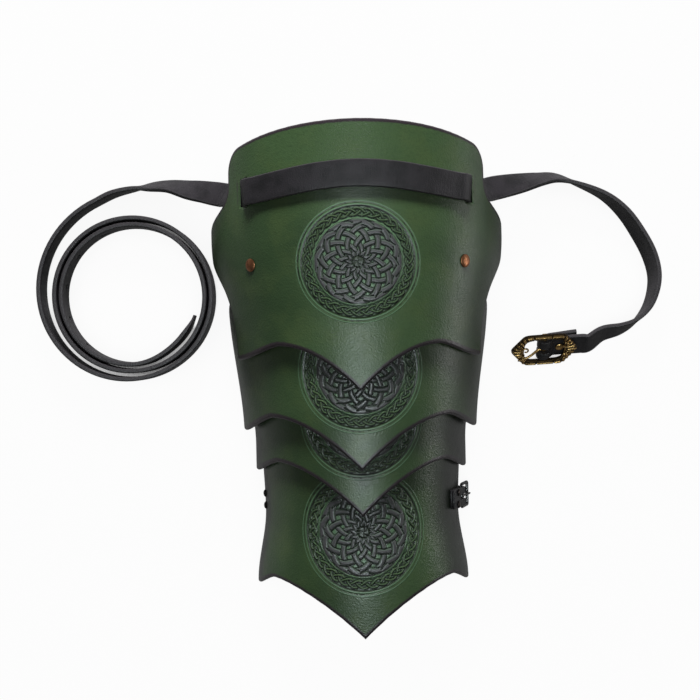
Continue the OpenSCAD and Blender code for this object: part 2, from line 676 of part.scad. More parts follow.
module arm_strap_rivets() {
    color(bronze) for (side = [-1, 1])
        on_skin(lower, -arm_rivet_deg, arm_y + side * arm_rivet_step / 2)
            rivet(arm_head_d, 2, arm_post_r, arm_grip);
}
module arm_strap_burrs() {
    color(bronze) for (side = [-1, 1])
        on_skin(lower, -arm_rivet_deg, arm_y + side * arm_rivet_step / 2)
            burr(arm_head_d, arm_post_r, arm_grip);
}

// Arm buckle tab: two layers of thin leather outside the right flank, folded round the heel bar
heel_deg = 76;
heel_normal = skin_normal(lower, heel_deg, arm_y);
heel_out = unit([heel_normal[0], heel_normal[2]]);
heel_up = [-heel_out[1], heel_out[0]];
tab_seat = 0.3;
wire_r = arm_wire_d / 2;
wire_bore_r = wire_r + bar_clear;
tab_loop_r = wire_bore_r + tab_t;
heel_gap = tab_seat + tab_t + wire_bore_r;
heel_bar = arm_section(heel_deg, 0) + heel_gap * heel_out;
tab_rivet_deg = 66;
tab_stack = 2 * tab_t + 0.2;
tab_slot = 8.5;
module arm_tab() {
    loop = [for (a = [270 : -18 : 90]) heel_bar + tab_loop_r * (cos(a) * heel_up + sin(a) * heel_out)];
    outline = concat(
        [for (t = [60 : 4 : 72]) arm_section(t, -tab_seat)],
        loop,
        [for (t = [70 : -5 : 60]) arm_section(t, -tab_seat - tab_stack)]);
    color(black) difference() {
        across(arm_y, arm_w, outline);
        translate([heel_bar[0], arm_y, heel_bar[1]]) rotate([90, 0, 0])
            cylinder(r = wire_bore_r, h = arm_w + 2, center = true);
        translate([heel_bar[0], arm_y, heel_bar[1]]) rotate([0, -atan2(heel_out[1], heel_out[0]), 0])
            translate([-tab_loop_r + 0.25, -2, -tab_loop_r - 1]) cube([3 * tab_loop_r, 4, tab_loop_r + 1 + tab_slot]);
        for (side = [-1, 1])
            on_skin(lower, tab_rivet_deg, arm_y + side * arm_rivet_step / 2) rivet_bore(arm_post_r);
    }
}
tab_lift = tab_seat + tab_stack + arm_seat;
tab_grip = tab_lift + plate_t;
module arm_tab_rivets() {
    color(bronze) for (side = [-1, 1])
        on_skin(lower, tab_rivet_deg, arm_y + side * arm_rivet_step / 2)
            translate([0, 0, tab_lift]) rivet(arm_head_d, 1.6, arm_post_r, tab_grip);
}
module arm_tab_burrs() {
    color(bronze) for (side = [-1, 1])
        on_skin(lower, tab_rivet_deg, arm_y + side * arm_rivet_step / 2)
            translate([0, 0, tab_lift]) burr(arm_head_d, arm_post_r, tab_grip);
}

// The arm buckle hangs from the tab and leans out to the table beside the flank
arm_lean = 21.5;
rail_y = arm_w / 2 + 0.3 + wire_r;
module at_heel_bar() {
    translate([heel_bar[0], arm_y, heel_bar[1]]) rotate([0, -arm_lean, 0]) children();
}
module arm_buckle_frame() {
    color(steel) at_heel_bar() {
        for (z = [0, -arm_buckle_len])
            translate([0, 0, z]) rotate([90, 0, 0]) cylinder(r = wire_r, h = 2 * rail_y, center = true);
        for (side = [-1, 1]) {
            translate([0, side * rail_y, -arm_buckle_len]) cylinder(r = wire_r, h = arm_buckle_len);
            for (z = [0, -arm_buckle_len]) translate([0, side * rail_y, z]) sphere(wire_r);
        }
    }
}
arm_prong_r = 0.9;
module arm_buckle_prong() {
    ring_r = wire_bore_r + 1;
    out = wire_r + arm_prong_r + prong_gap;
    color(steel) at_heel_bar() {
        difference() {
            rotate([90, 0, 0]) cylinder(r = ring_r, h = 3, center = true);
            rotate([90, 0, 0]) cylinder(r = wire_bore_r, h = 5, center = true);
        }
        hull() {
            translate([1, 0, -ring_r + 0.5]) sphere(arm_prong_r);
            translate([out, 0, -arm_buckle_len]) sphere(arm_prong_r);
        }
        translate([out, 0, -arm_buckle_len]) sphere(arm_prong_r);
    }
}

// The plates
module upper_plate() {
    color(green) difference() {
        plate_leather(upper, 22, 18);
        hanger_bores(upper);
        for (side = [0, 1]) strap_slot(slot_sides[side]);
    }
}

// A slot is cut along the strap's own way through the leather
module strap_slot(gates) {
    mid = (gates[0] + gates[1]) / 2;
    way = gates[1] - gates[0];
    translate([mid[0], slot_y, mid[2]]) rotate([0, -atan2(way[2], way[0]), 0])
        cube([18, strap_w + 2 * slot_clear + 1, strap_t + 2 * slot_clear], center = true);
}
module second_lame() {
    color(green) difference() {
        plate_leather(second, 20, 10);
        hanger_bores(second);
    }
}
module third_lame() {
    color(green) difference() {
        plate_leather(third, 20, 10);
        hanger_bores(third);
    }
}
module lower_lame() {
    color(green) difference() {
        plate_leather(lower, 20, 16);
        hanger_bores(lower);
        for (side = [-1, 1]) {
            on_skin(lower, -arm_rivet_deg, arm_y + side * arm_rivet_step / 2) rivet_bore(arm_post_r);
            on_skin(lower, tab_rivet_deg, arm_y + side * arm_rivet_step / 2) rivet_bore(arm_post_r);
        }
    }
}
module upper_hanger_left() { hanger_strap(upper, -1); }
module upper_hanger_right() { hanger_strap(upper, 1); }
module second_hanger_left() { hanger_strap(second, -1); }
module second_hanger_right() { hanger_strap(second, 1); }
module third_hanger_left() { hanger_strap(third, -1); }
module third_hanger_right() { hanger_strap(third, 1); }
module lower_hanger_left() { hanger_strap(lower, -1); }
module lower_hanger_right() { hanger_strap(lower, 1); }
hidden_head_h = 1.1;
module upper_rivets() { hanger_rivets(upper, rivet_head_d, 1.8); }
module upper_burrs() { hanger_burrs(upper); }
module second_rivets() { hanger_rivets(second, hidden_head_d, hidden_head_h); }
module second_burrs() { hanger_burrs(second); }
module third_rivets() { hanger_rivets(third, hidden_head_d, hidden_head_h); }
module third_burrs() { hanger_burrs(third); }
module lower_rivets() { hanger_rivets(lower, hidden_head_d, hidden_head_h); }
module lower_burrs() { hanger_burrs(lower); }

upper_plate();
second_lame();
third_lame();
lower_lame();
upper_hanger_left();
upper_hanger_right();
second_hanger_left();
second_hanger_right();
third_hanger_left();
third_hanger_right();
lower_hanger_left();
lower_hanger_right();
upper_rivets();
upper_burrs();
second_rivets();
second_burrs();
third_rivets();
third_burrs();
lower_rivets();
lower_burrs();
shoulder_strap();
strap_coil();
buckle_fold();
fold_rivet();
fold_burr();
buckle_frame();
buckle_prong();
arm_strap();
arm_strap_rivets();
arm_strap_burrs();
arm_tab();
arm_tab_rivets();
arm_tab_burrs();
arm_buckle_frame();
arm_buckle_prong();
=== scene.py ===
"""A leather pauldron with nested lames, straps and an antiqued buckle, on a pale surface."""

import json
import logging
import math
from dataclasses import dataclass
from enum import Enum
from typing import Optional, Sequence

import bmesh
import bpy
import numpy as np
from mathutils import Matrix, Vector, kdtree


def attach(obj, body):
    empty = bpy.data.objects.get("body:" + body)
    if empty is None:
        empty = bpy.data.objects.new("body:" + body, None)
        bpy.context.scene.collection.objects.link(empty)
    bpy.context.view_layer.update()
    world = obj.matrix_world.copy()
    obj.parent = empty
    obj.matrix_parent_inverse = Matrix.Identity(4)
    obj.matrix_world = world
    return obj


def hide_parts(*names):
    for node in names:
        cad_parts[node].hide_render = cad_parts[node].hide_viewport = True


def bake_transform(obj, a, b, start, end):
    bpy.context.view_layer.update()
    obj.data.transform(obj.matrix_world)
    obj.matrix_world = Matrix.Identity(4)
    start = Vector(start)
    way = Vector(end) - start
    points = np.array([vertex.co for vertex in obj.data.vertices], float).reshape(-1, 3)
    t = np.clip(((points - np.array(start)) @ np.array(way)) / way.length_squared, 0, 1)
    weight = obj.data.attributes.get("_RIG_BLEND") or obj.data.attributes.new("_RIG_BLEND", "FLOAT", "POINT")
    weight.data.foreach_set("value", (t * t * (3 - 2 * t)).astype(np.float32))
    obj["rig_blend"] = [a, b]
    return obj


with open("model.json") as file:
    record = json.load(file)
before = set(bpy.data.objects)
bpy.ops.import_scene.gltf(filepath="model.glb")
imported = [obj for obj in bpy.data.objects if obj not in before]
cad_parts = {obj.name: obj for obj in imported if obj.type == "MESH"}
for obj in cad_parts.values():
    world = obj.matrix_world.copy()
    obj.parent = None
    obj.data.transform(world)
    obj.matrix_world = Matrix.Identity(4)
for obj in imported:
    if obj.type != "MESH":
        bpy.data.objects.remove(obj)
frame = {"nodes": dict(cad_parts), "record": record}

logging.basicConfig(level=logging.INFO, format="%(message)s")
log = logging.getLogger("pauldron")
MM = 0.001
ALONG_ARM = np.array([0.0, 1.0, 0.0])
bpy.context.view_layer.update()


def ease(s: np.ndarray) -> np.ndarray:
    """A smooth step from 0 to 1 over s from 0 to 1."""
    c = np.clip(s, 0.0, 1.0)
    return c * c * (3.0 - 2.0 * c)


def mix(a: np.ndarray, b: np.ndarray, s: np.ndarray) -> np.ndarray:
    """The value s of the way from a to b."""
    return a + (b - a) * s


def unit(v: np.ndarray) -> np.ndarray:
    """v at length 1, along its last axis."""
    v = np.asarray(v, float)
    return v / np.maximum(np.linalg.norm(v, axis=-1, keepdims=True), 1e-12)


def srgb(red: int, green: int, blue: int) -> tuple:
    """A colour of 0 to 255 a channel as Blender's linear colour, with an alpha of 1."""
    def straight(c: float) -> float:
        """One channel without its curve."""
        return c / 12.92 if c <= 0.04045 else ((c + 0.055) / 1.055) ** 2.4

    return (straight(red / 255), straight(green / 255), straight(blue / 255), 1.0)


class Plate(Enum):
    """The four plates, from the neck down the arm."""

    UPPER = 0
    SECOND = 1
    THIRD = 2
    LOWER = 3

    @property
    def body(self) -> str:
        """The body that the plate rides on."""
        return ("upper", "second", "third", "lower")[self.value]

    @property
    def node(self) -> str:
        """The plate's own node."""
        return ("upper_plate", "second_lame", "third_lame", "lower_lame")[self.value]


@dataclass(frozen=True)
class PlateForm:
    """Where the leather of each plate lies, in millimetres and degrees.

    A plate's section is half an ellipse centred on the table. A point of it is given by the angle
    t from the crown in degrees, its place y along the arm and its depth d under the outer face.
    """

    plate_t: float = 3.5
    crown_gap: float = 2.5
    side_gap: float = 3.4
    upper_len: float = 198.0
    lobe_half_w: float = 119.0
    mouth_half_w: float = 107.0
    upper_crown: float = 107.0
    upper_fall: float = 2.0
    lobe_from_neck: float = 77.5
    lobe_deg: float = 93.0
    lobe_base_deg: tuple = (56.0, 63.0)
    lobe_reach: tuple = (16.5, 30.0)
    arches: tuple = (34.0, 39.0, 39.0, 41.0)
    steps: tuple = (59.0, 35.0, 93.0)
    lame_len: float = 134.0
    lower_len: float = 152.0
    lame_deg: tuple = (80.0, 85.0)
    second_taper: float = 4.6
    second_even: float = 20.0
    third_taper: float = 2.6
    third_even: float = 50.0
    waist_in: float = 2.3
    waist_under_arm: float = 10.0
    flare: float = 7.3
    flare_len: float = 58.0
    lower_deg: float = 90.4
    arm_notch_deg: float = 3.8
    arm_notch_half: float = 13.0
    lame_fall: float = 4.4
    arm_from_tip: float = 98.0
    slot_from_neck: float = 48.0
    top_sag: tuple = (16.0, 6.0, 6.0, 6.0)
    top_corner: tuple = (15.0, 10.0, 10.0, 10.0)
    low_corner: float = 4.0
    arch_place: tuple = (0.55, 0.56, 0.58, 0.62)
    corner_fall: tuple = (10.0, 12.5, 10.5, 12.0)
    corner_bend: float = 1.4

    @property
    def neck_y(self) -> float:
        """Place of the neck edge."""
        return (self.upper_len + sum(self.steps)) / 2

    @property
    def lengths(self) -> tuple:
        """Length of each plate."""
        return (self.upper_len, self.lame_len, self.lame_len, self.lower_len)

    def tip_y(self, k: int) -> float:
        """Place of plate k's tip."""
        return self.neck_y - self.upper_len - sum(self.steps[:k])

    def top_y(self, k: int) -> float:
        """Place of plate k's top edge."""
        return self.tip_y(k) + self.lengths[k]

    @property
    def arm_y(self) -> float:
        """Middle of the arm strap."""
        return self.tip_y(3) + self.arm_from_tip

    @property
    def slot_y(self) -> float:
        """Place of the strap slots' middle."""
        return self.neck_y - self.slot_from_neck

    def half_w(self, k: int, y: np.ndarray) -> np.ndarray:
        """Half width of plate k's section at place y."""
        y = np.asarray(y, float)
        inward = self.plate_t + self.side_gap
        second_low = self.mouth_half_w - inward - self.second_taper
        third_low = second_low - inward - self.third_taper
        if k == 0:
            mouth_y = self.tip_y(0) + self.arches[0] - self.corner_fall[0]
            lobe_y = self.neck_y - self.lobe_from_neck
            share = ease((y - mouth_y) / (lobe_y - mouth_y))
            return mix(self.mouth_half_w, self.lobe_half_w, share)
        if k in (1, 2):
            low, even = ((second_low, self.second_even), (third_low, self.third_even))[k - 1]
            top = self.half_w(k - 1, self.top_y(k)) - inward
            return mix(low, top, ease((y - self.tip_y(k) - even) / (self.lame_len - even)))
        top = third_low - self.plate_t - self.side_gap / 3
        waist, waist_y = top - self.waist_in, self.arm_y - self.waist_under_arm
        return np.where(
            y > waist_y,
            mix(waist, top, ease((y - waist_y) / (self.top_y(3) - waist_y))),
            mix(waist, waist + self.flare, ease((waist_y - y) / self.flare_len)),
        )

    def crown_z(self, k: int, y: np.ndarray) -> np.ndarray:
        """Height of plate k's crown at place y."""
        y = np.asarray(y, float)
        if k == 0:
            return self.upper_crown - self.upper_fall * (self.neck_y - y) / self.upper_len
        top = self.crown_z(k - 1, self.top_y(k)) - self.plate_t - self.crown_gap
        return top - self.lame_fall * (self.top_y(k) - y) / self.lengths[k]

    def edge_deg(self, k: int, y: np.ndarray) -> np.ndarray:
        """Angle from the crown at which plate k ends at place y."""
        y = np.asarray(y, float)
        if k == 0:
            off = y - (self.neck_y - self.lobe_from_neck)
            base = np.where(off > 0, *self.lobe_base_deg)
            reach = np.where(off > 0, *self.lobe_reach)
            return np.minimum(90, mix(base, self.lobe_deg, np.exp(-((off / reach) ** 2))))
        if k in (1, 2):
            return np.full_like(y, self.lame_deg[k - 1])
        notch = self.arm_notch_deg * np.exp(-(((y - self.arm_y) / self.arm_notch_half) ** 2))
        return np.minimum(90, self.lower_deg - notch)

    def skin(self, k: int, t: np.ndarray, y: np.ndarray, d: np.ndarray) -> np.ndarray:
        """Points of plate k at angles t, places y and depths d, with x, y, z on the last axis."""
        t, y, d = np.broadcast_arrays(np.radians(t), np.asarray(y, float), np.asarray(d, float))
        a, b = self.half_w(k, y), self.crown_z(k, y)
        nx, nz = b * np.sin(t), a * np.cos(t)
        size = np.hypot(nx, nz)
        return np.stack([a * np.sin(t) - d * nx / size, y, b * np.cos(t) - d * nz / size], axis=-1)

    def normal(self, k: int, t: float, y: float) -> np.ndarray:
        """Outward normal of plate k at one point."""
        side = self.skin(k, t + 0.5, y, 0) - self.skin(k, t - 0.5, y, 0)
        along = self.skin(k, t, y + 0.5, 0) - self.skin(k, t, y - 0.5, 0)
        return unit(np.cross(side, along))

    def corner_round(self, k: int, u: np.ndarray, r: float, y: float) -> np.ndarray:
        """How far a corner of radius r draws in the end of an edge line at share u of the width."""
        w = r / (self.half_w(k, y) * np.radians(self.edge_deg(k, y)))
        s = np.clip((np.abs(u) - 1 + w) / w, 0, 1)
        return r * (1 - np.sqrt(1 - s * s))

    def side_ends(self, k: int, side: float) -> list:
        """Places of the top and the low end of plate k's side edge, on side -1 or 1."""
        return [float(line(k, np.array(side))) for line in (self.top_line, self.low_line)]

    def top_line(self, k: int, u: np.ndarray) -> np.ndarray:
        """Place of plate k's top edge at share u of its width, from -1 to 1."""
        y = self.top_y(k)
        return y - self.top_sag[k] * u * u - self.corner_round(k, u, self.top_corner[k], y - 20)

    def low_line(self, k: int, u: np.ndarray) -> np.ndarray:
        """Place of plate k's pointed lower edge at share u of its width."""
        a, p, arch, fall = np.abs(u), self.arch_place[k], self.arches[k], self.corner_fall[k]
        inner = arch * (1 - (1 - a / p) ** 2)
        start = math.sin(math.pi / 2 * p)
        share = np.maximum(np.sin(np.pi / 2 * a) - start, 0) / (1 - start)
        outer = arch - fall * share**self.corner_bend
        y = self.tip_y(k)
        corner = self.corner_round(k, u, self.low_corner, y + arch - fall)
        return y + np.where(a < p, inner, outer) + corner


FORM = PlateForm()


def object_from(bm: bmesh.types.BMesh, name: str, smooth: bool = True) -> bpy.types.Object:
    """Makes a mesh object in metres of a bmesh in millimetres, which is freed."""
    bmesh.ops.scale(bm, vec=(MM, MM, MM), verts=bm.verts)
    for f in bm.faces:
        f.smooth = smooth
    mesh = bpy.data.meshes.new(name)
    bm.to_mesh(mesh)
    bm.free()
    piece = bpy.data.objects.new(name, mesh)
    bpy.context.scene.collection.objects.link(piece)
    return piece


def laid_grid(bm: bmesh.types.BMesh, points: np.ndarray) -> list:
    """Adds a grid of faces on an array of rows, columns and x, y, z.

    Returns:
        The grid's vertices, as rows of columns.
    """
    rows, cols = points.shape[:2]
    made = bmesh.ops.create_grid(bm, x_segments=cols - 1, y_segments=rows - 1, size=1.0)["verts"]
    table = [[None] * cols for _ in range(rows)]
    for v in made:
        c, r = round((v.co.x + 1) / 2 * (cols - 1)), round((v.co.y + 1) / 2 * (rows - 1))
        table[r][c] = v
        v.co = points[r, c]
    return table


def close_up(bm: bmesh.types.BMesh, distance: float) -> None:
    """Merges doubles, fills open ends and turns every face outward."""
    bmesh.ops.remove_doubles(bm, verts=bm.verts, dist=distance)
    open_edges = [e for e in bm.edges if e.is_boundary]
    if open_edges:
        bmesh.ops.holes_fill(bm, edges=open_edges, sides=0)
    bmesh.ops.dissolve_degenerate(bm, edges=bm.edges, dist=distance)
    bmesh.ops.recalc_face_normals(bm, faces=bm.faces)


def turned(bm: bmesh.types.BMesh, profile: Sequence[tuple], axis: tuple, steps: int,
           closed: bool = False) -> None:
    """Adds a profile of x, y, z points turned a full circle about an axis through the origin."""
    verts = [bm.verts.new(point) for point in profile]
    for a, b in zip(verts, verts[1:] + (verts[:1] if closed else [])):
        bm.edges.new((a, b))
    bmesh.ops.spin(bm, geom=list(bm.verts) + list(bm.edges), cent=(0, 0, 0), axis=axis,
                   angle=2 * math.pi, steps=steps, use_merge=True)
    close_up(bm, 0.001)


def block(size: tuple, matrix: Matrix, middle: tuple = (0.0, 0.0, 0.0)) -> bmesh.types.BMesh:
    """A box of a size round its middle, moved by a matrix."""
    bm = bmesh.new()
    bmesh.ops.create_cube(bm, size=1.0)
    bmesh.ops.scale(bm, vec=size, verts=bm.verts)
    bmesh.ops.translate(bm, vec=middle, verts=bm.verts)
    bmesh.ops.transform(bm, matrix=matrix, verts=bm.verts)
    return bm


def punches(places: Sequence[Matrix], radius: float, depth: float, sides: int) -> bmesh.types.BMesh:
    """Round cutters of one radius and depth at a row of places."""
    bm = bmesh.new()
    for place in places:
        bmesh.ops.create_cone(bm, cap_ends=True, segments=sides, radius1=radius, radius2=radius,
                              depth=depth, matrix=place)
    return bm


def round_box(half_w: float, half_h: float, r: float, count: int) -> np.ndarray:
    """Points round a rectangle whose corners are arcs of radius r with count points each."""
    points = []
    for cx, cy, start in ((1, 1, 0), (-1, 1, 90), (-1, -1, 180), (1, -1, 270)):
        x, y = cx * (half_w - r), cy * (half_h - r)
        for a in np.radians(start + np.linspace(0, 90, count)):
            points.append((x + r * math.cos(a), y + r * math.sin(a)))
    return np.array(points)


def write_attribute(piece: bpy.types.Object, name: str, values: Sequence[float]) -> None:
    """Stores one number a vertex on a piece, for its finish to read."""
    made = piece.data.attributes.get(name) or piece.data.attributes.new(name, "FLOAT", "POINT")
    made.data.foreach_set("value", np.asarray(values, np.float32))


def vertex_places(piece: bpy.types.Object) -> np.ndarray:
    """A piece's vertices in millimetres."""
    co = np.zeros(len(piece.data.vertices) * 3, np.float32)
    piece.data.vertices.foreach_get("co", co)
    return co.reshape(-1, 3).astype(float) / MM


def nearest_distances(places: np.ndarray, marks: np.ndarray) -> np.ndarray:
    """Distance from each place to the nearest of the marks."""
    tree = kdtree.KDTree(len(marks))
    for i, m in enumerate(marks):
        tree.insert(m, i)
    tree.balance()
    return np.array([tree.find(p)[2] for p in places])


def cut_with(piece: bpy.types.Object, cutter: bmesh.types.BMesh) -> None:
    """Takes the space of a closed bmesh, which is freed, out of a piece."""
    tool = object_from(cutter, piece.name + "_cutter", smooth=False)
    boolean = piece.modifiers.new("cut", "BOOLEAN")
    boolean.operation, boolean.solver, boolean.object = "DIFFERENCE", "EXACT", tool
    bpy.context.view_layer.update()
    done = piece.evaluated_get(bpy.context.evaluated_depsgraph_get())
    mesh = bpy.data.meshes.new_from_object(done)
    piece.modifiers.clear()
    old, piece.data = piece.data, mesh
    mesh.name = piece.name
    bpy.data.meshes.remove(old)
    bpy.data.objects.remove(tool)


class Tree:
    """Builds a node tree with short calls."""

    def __init__(self, tree: bpy.types.NodeTree) -> None:
        """Takes the tree that the nodes go in."""
        self.tree = tree

    def add(self, kind: str, **settings: object) -> bpy.types.Node:
        """Adds a node of a kind with its settings."""
        node = self.tree.nodes.new(kind)
        for key, value in settings.items():
            setattr(node, key, value)
        return node

    def feed(self, socket: bpy.types.NodeSocket, value: object) -> None:
        """Gives a socket a link or a constant."""
        if isinstance(value, bpy.types.NodeSocket):
            self.tree.links.new(value, socket)
        else:
            socket.default_value = value

    def math(self, operation: str, a: object, b: object) -> bpy.types.NodeSocket:
        """One step of arithmetic on numbers or sockets."""
        node = self.add("ShaderNodeMath", operation=operation)
        self.feed(node.inputs[0], a)
        self.feed(node.inputs[1], b)
        return node.outputs[0]

    def preset(self, node: bpy.types.Node, **values: object) -> None:
        """Gives a node's sockets constants by name, with underscores for spaces."""
        for key, value in values.items():
            node.inputs[key.replace("_", " ")].default_value = value

    def ranged(self, value: object, kind: str, **ends: float) -> bpy.types.NodeSocket:
        """Value through a range of a kind, linear or a smooth step, with its ends by name."""
        node = self.add("ShaderNodeMapRange", interpolation_type=kind)
        self.feed(node.inputs["Value"], value)
        self.preset(node, **ends)
        return node.outputs[0]

    def step(self, value: object, low: float, high: float) -> bpy.types.NodeSocket:
        """A smooth step of value from 0 at low to 1 at high."""
        return self.ranged(value, "SMOOTHSTEP", From_Min=low, From_Max=high)

    def span(self, value: object, low: float, high: float) -> bpy.types.NodeSocket:
        """Value from 0 to 1 laid over low to high."""
        return self.ranged(value, "LINEAR", To_Min=low, To_Max=high)

    def part(self, share: object, most: float) -> bpy.types.NodeSocket:
        """A share of 0 to 1 scaled to run up to most."""
        return self.math("MULTIPLY", share, most)

    def less(self, share: object) -> bpy.types.NodeSocket:
        """What a share of 0 to 1 leaves of 1."""
        return self.math("SUBTRACT", 1.0, share)

    def seen(self, path: bpy.types.Node) -> bpy.types.NodeSocket:
        """Whether a ray of a light path node comes from the camera, straight or through glass."""
        straight, through = (path.outputs[f"Is {kind} Ray"] for kind in ("Camera", "Transmission"))
        return self.math("MAXIMUM", straight, through)


class Nodes(Tree):
    """Builds one material's node tree."""

    def __init__(self, name: str) -> None:
        """Starts an empty material with its output and main shader."""
        self.material = bpy.data.materials.new(name)
        self.material.use_nodes = True
        super().__init__(self.material.node_tree)
        self.tree.nodes.clear()
        self.out = self.add("ShaderNodeOutputMaterial")
        self.shader = self.add("ShaderNodeBsdfPrincipled")
        self.feed(self.out.inputs["Surface"], self.shader.outputs[0])
        self.place = self.add("ShaderNodeTexCoord").outputs["Object"]

    def blend(self, share: object, a: object, b: object) -> bpy.types.NodeSocket:
        """Two colours mixed by a share."""
        node = self.add("ShaderNodeMix", data_type="RGBA")
        for i, value in ((0, share), (6, a), (7, b)):
            self.feed(node.inputs[i], value)
        return node.outputs[2]

    def noise(self, scale: float, detail: float = 2.0,
              stretch: Optional[tuple] = None) -> bpy.types.NodeSocket:
        """Cloudy noise with features of about 1 / scale metres, stretched by axis if asked."""
        place = self.place
        if stretch is not None:
            mapping = self.add("ShaderNodeMapping")
            self.feed(mapping.inputs["Vector"], place)
            self.preset(mapping, Scale=stretch)
            place = mapping.outputs[0]
        node = self.add("ShaderNodeTexNoise")
        self.feed(node.inputs["Vector"], place)
        self.preset(node, Scale=scale, Detail=detail)
        return node.outputs[0]

    def cells(self, scale: float) -> bpy.types.NodeSocket:
        """Distances in a soft pattern of cells about 1 / scale metres across."""
        node = self.add("ShaderNodeTexVoronoi", feature="SMOOTH_F1")
        self.feed(node.inputs["Vector"], self.place)
        self.preset(node, Scale=scale)
        return node.outputs["Distance"]

    def attribute(self, name: str) -> bpy.types.NodeSocket:
        """A number stored on the piece's vertices."""
        return self.add("ShaderNodeAttribute", attribute_name=name).outputs["Fac"]

    def bump(self, height: object, distance: float, strength: float = 1.0,
             under: object = None) -> bpy.types.NodeSocket:
        """A bump of so many metres from a height of 0 to 1, over another bump if given."""
        node = self.add("ShaderNodeBump")
        self.feed(node.inputs["Height"], height)
        self.preset(node, Distance=distance, Strength=strength)
        if under is not None:
            self.feed(node.inputs["Normal"], under)
        return node.outputs[0]

    def surface(self, color: object, rough: object, normal: object = None,
                **fixed: float) -> bpy.types.Material:
        """Sets the main shader's sockets and gives the material.

        Args:
            color: Base colour, a socket or four numbers.
            rough: Roughness, a socket or a number.
            normal: The bump's socket, if there is one.
            **fixed: Other sockets by name, with underscores for spaces.

        Returns:
            The finished material.
        """
        self.feed(self.shader.inputs["Base Color"], color)
        self.feed(self.shader.inputs["Roughness"], rough)
        if normal is not None:
            self.feed(self.shader.inputs["Normal"], normal)
        self.preset(self.shader, **fixed)
        return self.material


@dataclass(frozen=True)
class PlateLeather:
    """Smooth vegetable tanned leather, dyed green by hand and burnished black at its edges."""

    green: tuple = srgb(57, 78, 49)
    deep: tuple = srgb(43, 61, 38)
    warm: tuple = srgb(64, 80, 47)
    # The dark grey of the antique stain and of the painted shade on the flanks.
    stain_and_shade: tuple = srgb(28, 31, 28)
    black: tuple = srgb(43, 37, 41)
    ink: tuple = srgb(66, 66, 69)
    line: tuple = srgb(14, 17, 14)
    # Pale teal of rubbed, pressed leather and of a painted sheen on the roundels.
    pale: tuple = srgb(90, 124, 94)
    burnish_mm: tuple = (0.9, 2.1)
    pebble_height: float = 0.00016
    wave_height: float = 0.0012

    def make(self) -> bpy.types.Material:
        """The finish of a plate's outer side, which reads edge, ink, line, pale and the attribute of antique
        stain and painted shade.
        """
        n = Nodes("plate_leather")
        edge, ink, line, pale, stain_and_shade = map(n.attribute, ("edge", "ink", "line", "pale", "stain_and_shade"))
        cloud, patch, fine = n.noise(9, 3), n.noise(45, 4), n.noise(420, 3)
        tone = n.blend(n.step(cloud, 0.35, 0.65), self.deep, self.green)
        tone = n.blend(n.part(n.step(patch, 0.42, 0.75), 0.5), tone, self.warm)
        tone = n.blend(n.part(n.step(fine, 0.45, 0.7), 0.3), tone, self.deep)
        # Darkening towards the flanks and the lower rims: the leather's antique stain together with painted
        # shade on the flanks that face away from the light.
        wander = n.math("ADD", stain_and_shade, n.span(n.noise(60, 3), -0.12, 0.12))
        tone = n.blend(n.part(n.step(wander, 0.05, 0.95), 0.9), tone, self.stain_and_shade)
        thin = n.math("ADD", edge, n.span(n.noise(250, 2), -0.4, 0.4))
        tone = n.blend(n.less(n.step(thin, *self.burnish_mm)), tone, self.black)
        for share, color in ((ink, self.ink), (pale, self.pale), (line, self.line)):
            tone = n.blend(share, tone, color)
        pebble = n.math("ADD", n.cells(760), n.noise(1300, 2))
        normal = n.bump(pebble, self.pebble_height, 0.75)
        normal = n.bump(n.noise(30, 3), self.wave_height, 0.25, normal)
        rough = n.math("ADD", n.span(n.noise(120, 3), 0.32, 0.42), n.part(ink, -0.06))
        return n.surface(tone, rough, normal, Specular_IOR_Level=0.42)


@dataclass(frozen=True)
class FleshSide:
    """The napped inner side of the plates' leather."""

    tan: tuple = srgb(74, 66, 52)
    dark: tuple = srgb(44, 42, 36)
    fibre: tuple = srgb(96, 88, 70)
    rim: tuple = srgb(28, 27, 28)
    rim_mm: tuple = (0.8, 3.5)

    def make(self) -> bpy.types.Material:
        """The finish of a plate's inner side, which reads edge."""
        n = Nodes("flesh_side")
        fibre = n.noise(500, 4, (1.0, 0.35, 1.0))
        tone = n.blend(n.step(n.noise(25, 4), 0.35, 0.7), self.tan, self.dark)
        tone = n.blend(n.part(fibre, 0.5), tone, self.fibre)
        tone = n.blend(n.less(n.step(n.attribute("edge"), *self.rim_mm)), tone, self.rim)
        nap = n.bump(fibre, 0.0005, 0.8)
        return n.surface(tone, 0.93, nap, Sheen_Weight=0.2, Sheen_Roughness=0.5)


@dataclass(frozen=True)
class StrapLeather:
    """Black strap leather with fine cross creases and burnished edges, which carry a painted highlight."""

    black: tuple = srgb(39, 37, 40)
    deep: tuple = srgb(29, 28, 30)
    lit: tuple = srgb(62, 60, 62)
    edge_highlight_mm: tuple = (0.2, 1.4)
    crease_across: float = 1.1
    crease_along: float = 0.14

    def make(self) -> bpy.types.Material:
        """The straps' finish, which reads edge and along."""
        n = Nodes("strap_leather")
        edge, along = n.attribute("edge"), n.attribute("along")
        tone = n.blend(n.step(n.noise(80, 4), 0.35, 0.7), self.black, self.deep)
        # A painted highlight along the rounded edges, which are drawn lighter.
        tone = n.blend(n.part(n.less(n.step(edge, *self.edge_highlight_mm)), 0.55), tone, self.lit)
        crease = n.add("ShaderNodeTexNoise", noise_dimensions="2D")
        n.preset(crease, Scale=1.0, Detail=4.0)
        pair = n.add("ShaderNodeCombineXYZ")
        n.feed(pair.inputs[0], n.part(along, self.crease_across))
        n.feed(pair.inputs[1], n.part(edge, self.crease_along))
        n.feed(crease.inputs["Vector"], pair.outputs[0])
        normal = n.bump(n.cells(1100), 0.00022, 0.6)
        normal = n.bump(crease.outputs[0], 0.0004, 0.45, normal)
        return n.surface(tone, n.span(n.noise(200, 3), 0.44, 0.6), normal, Specular_IOR_Level=0.4)


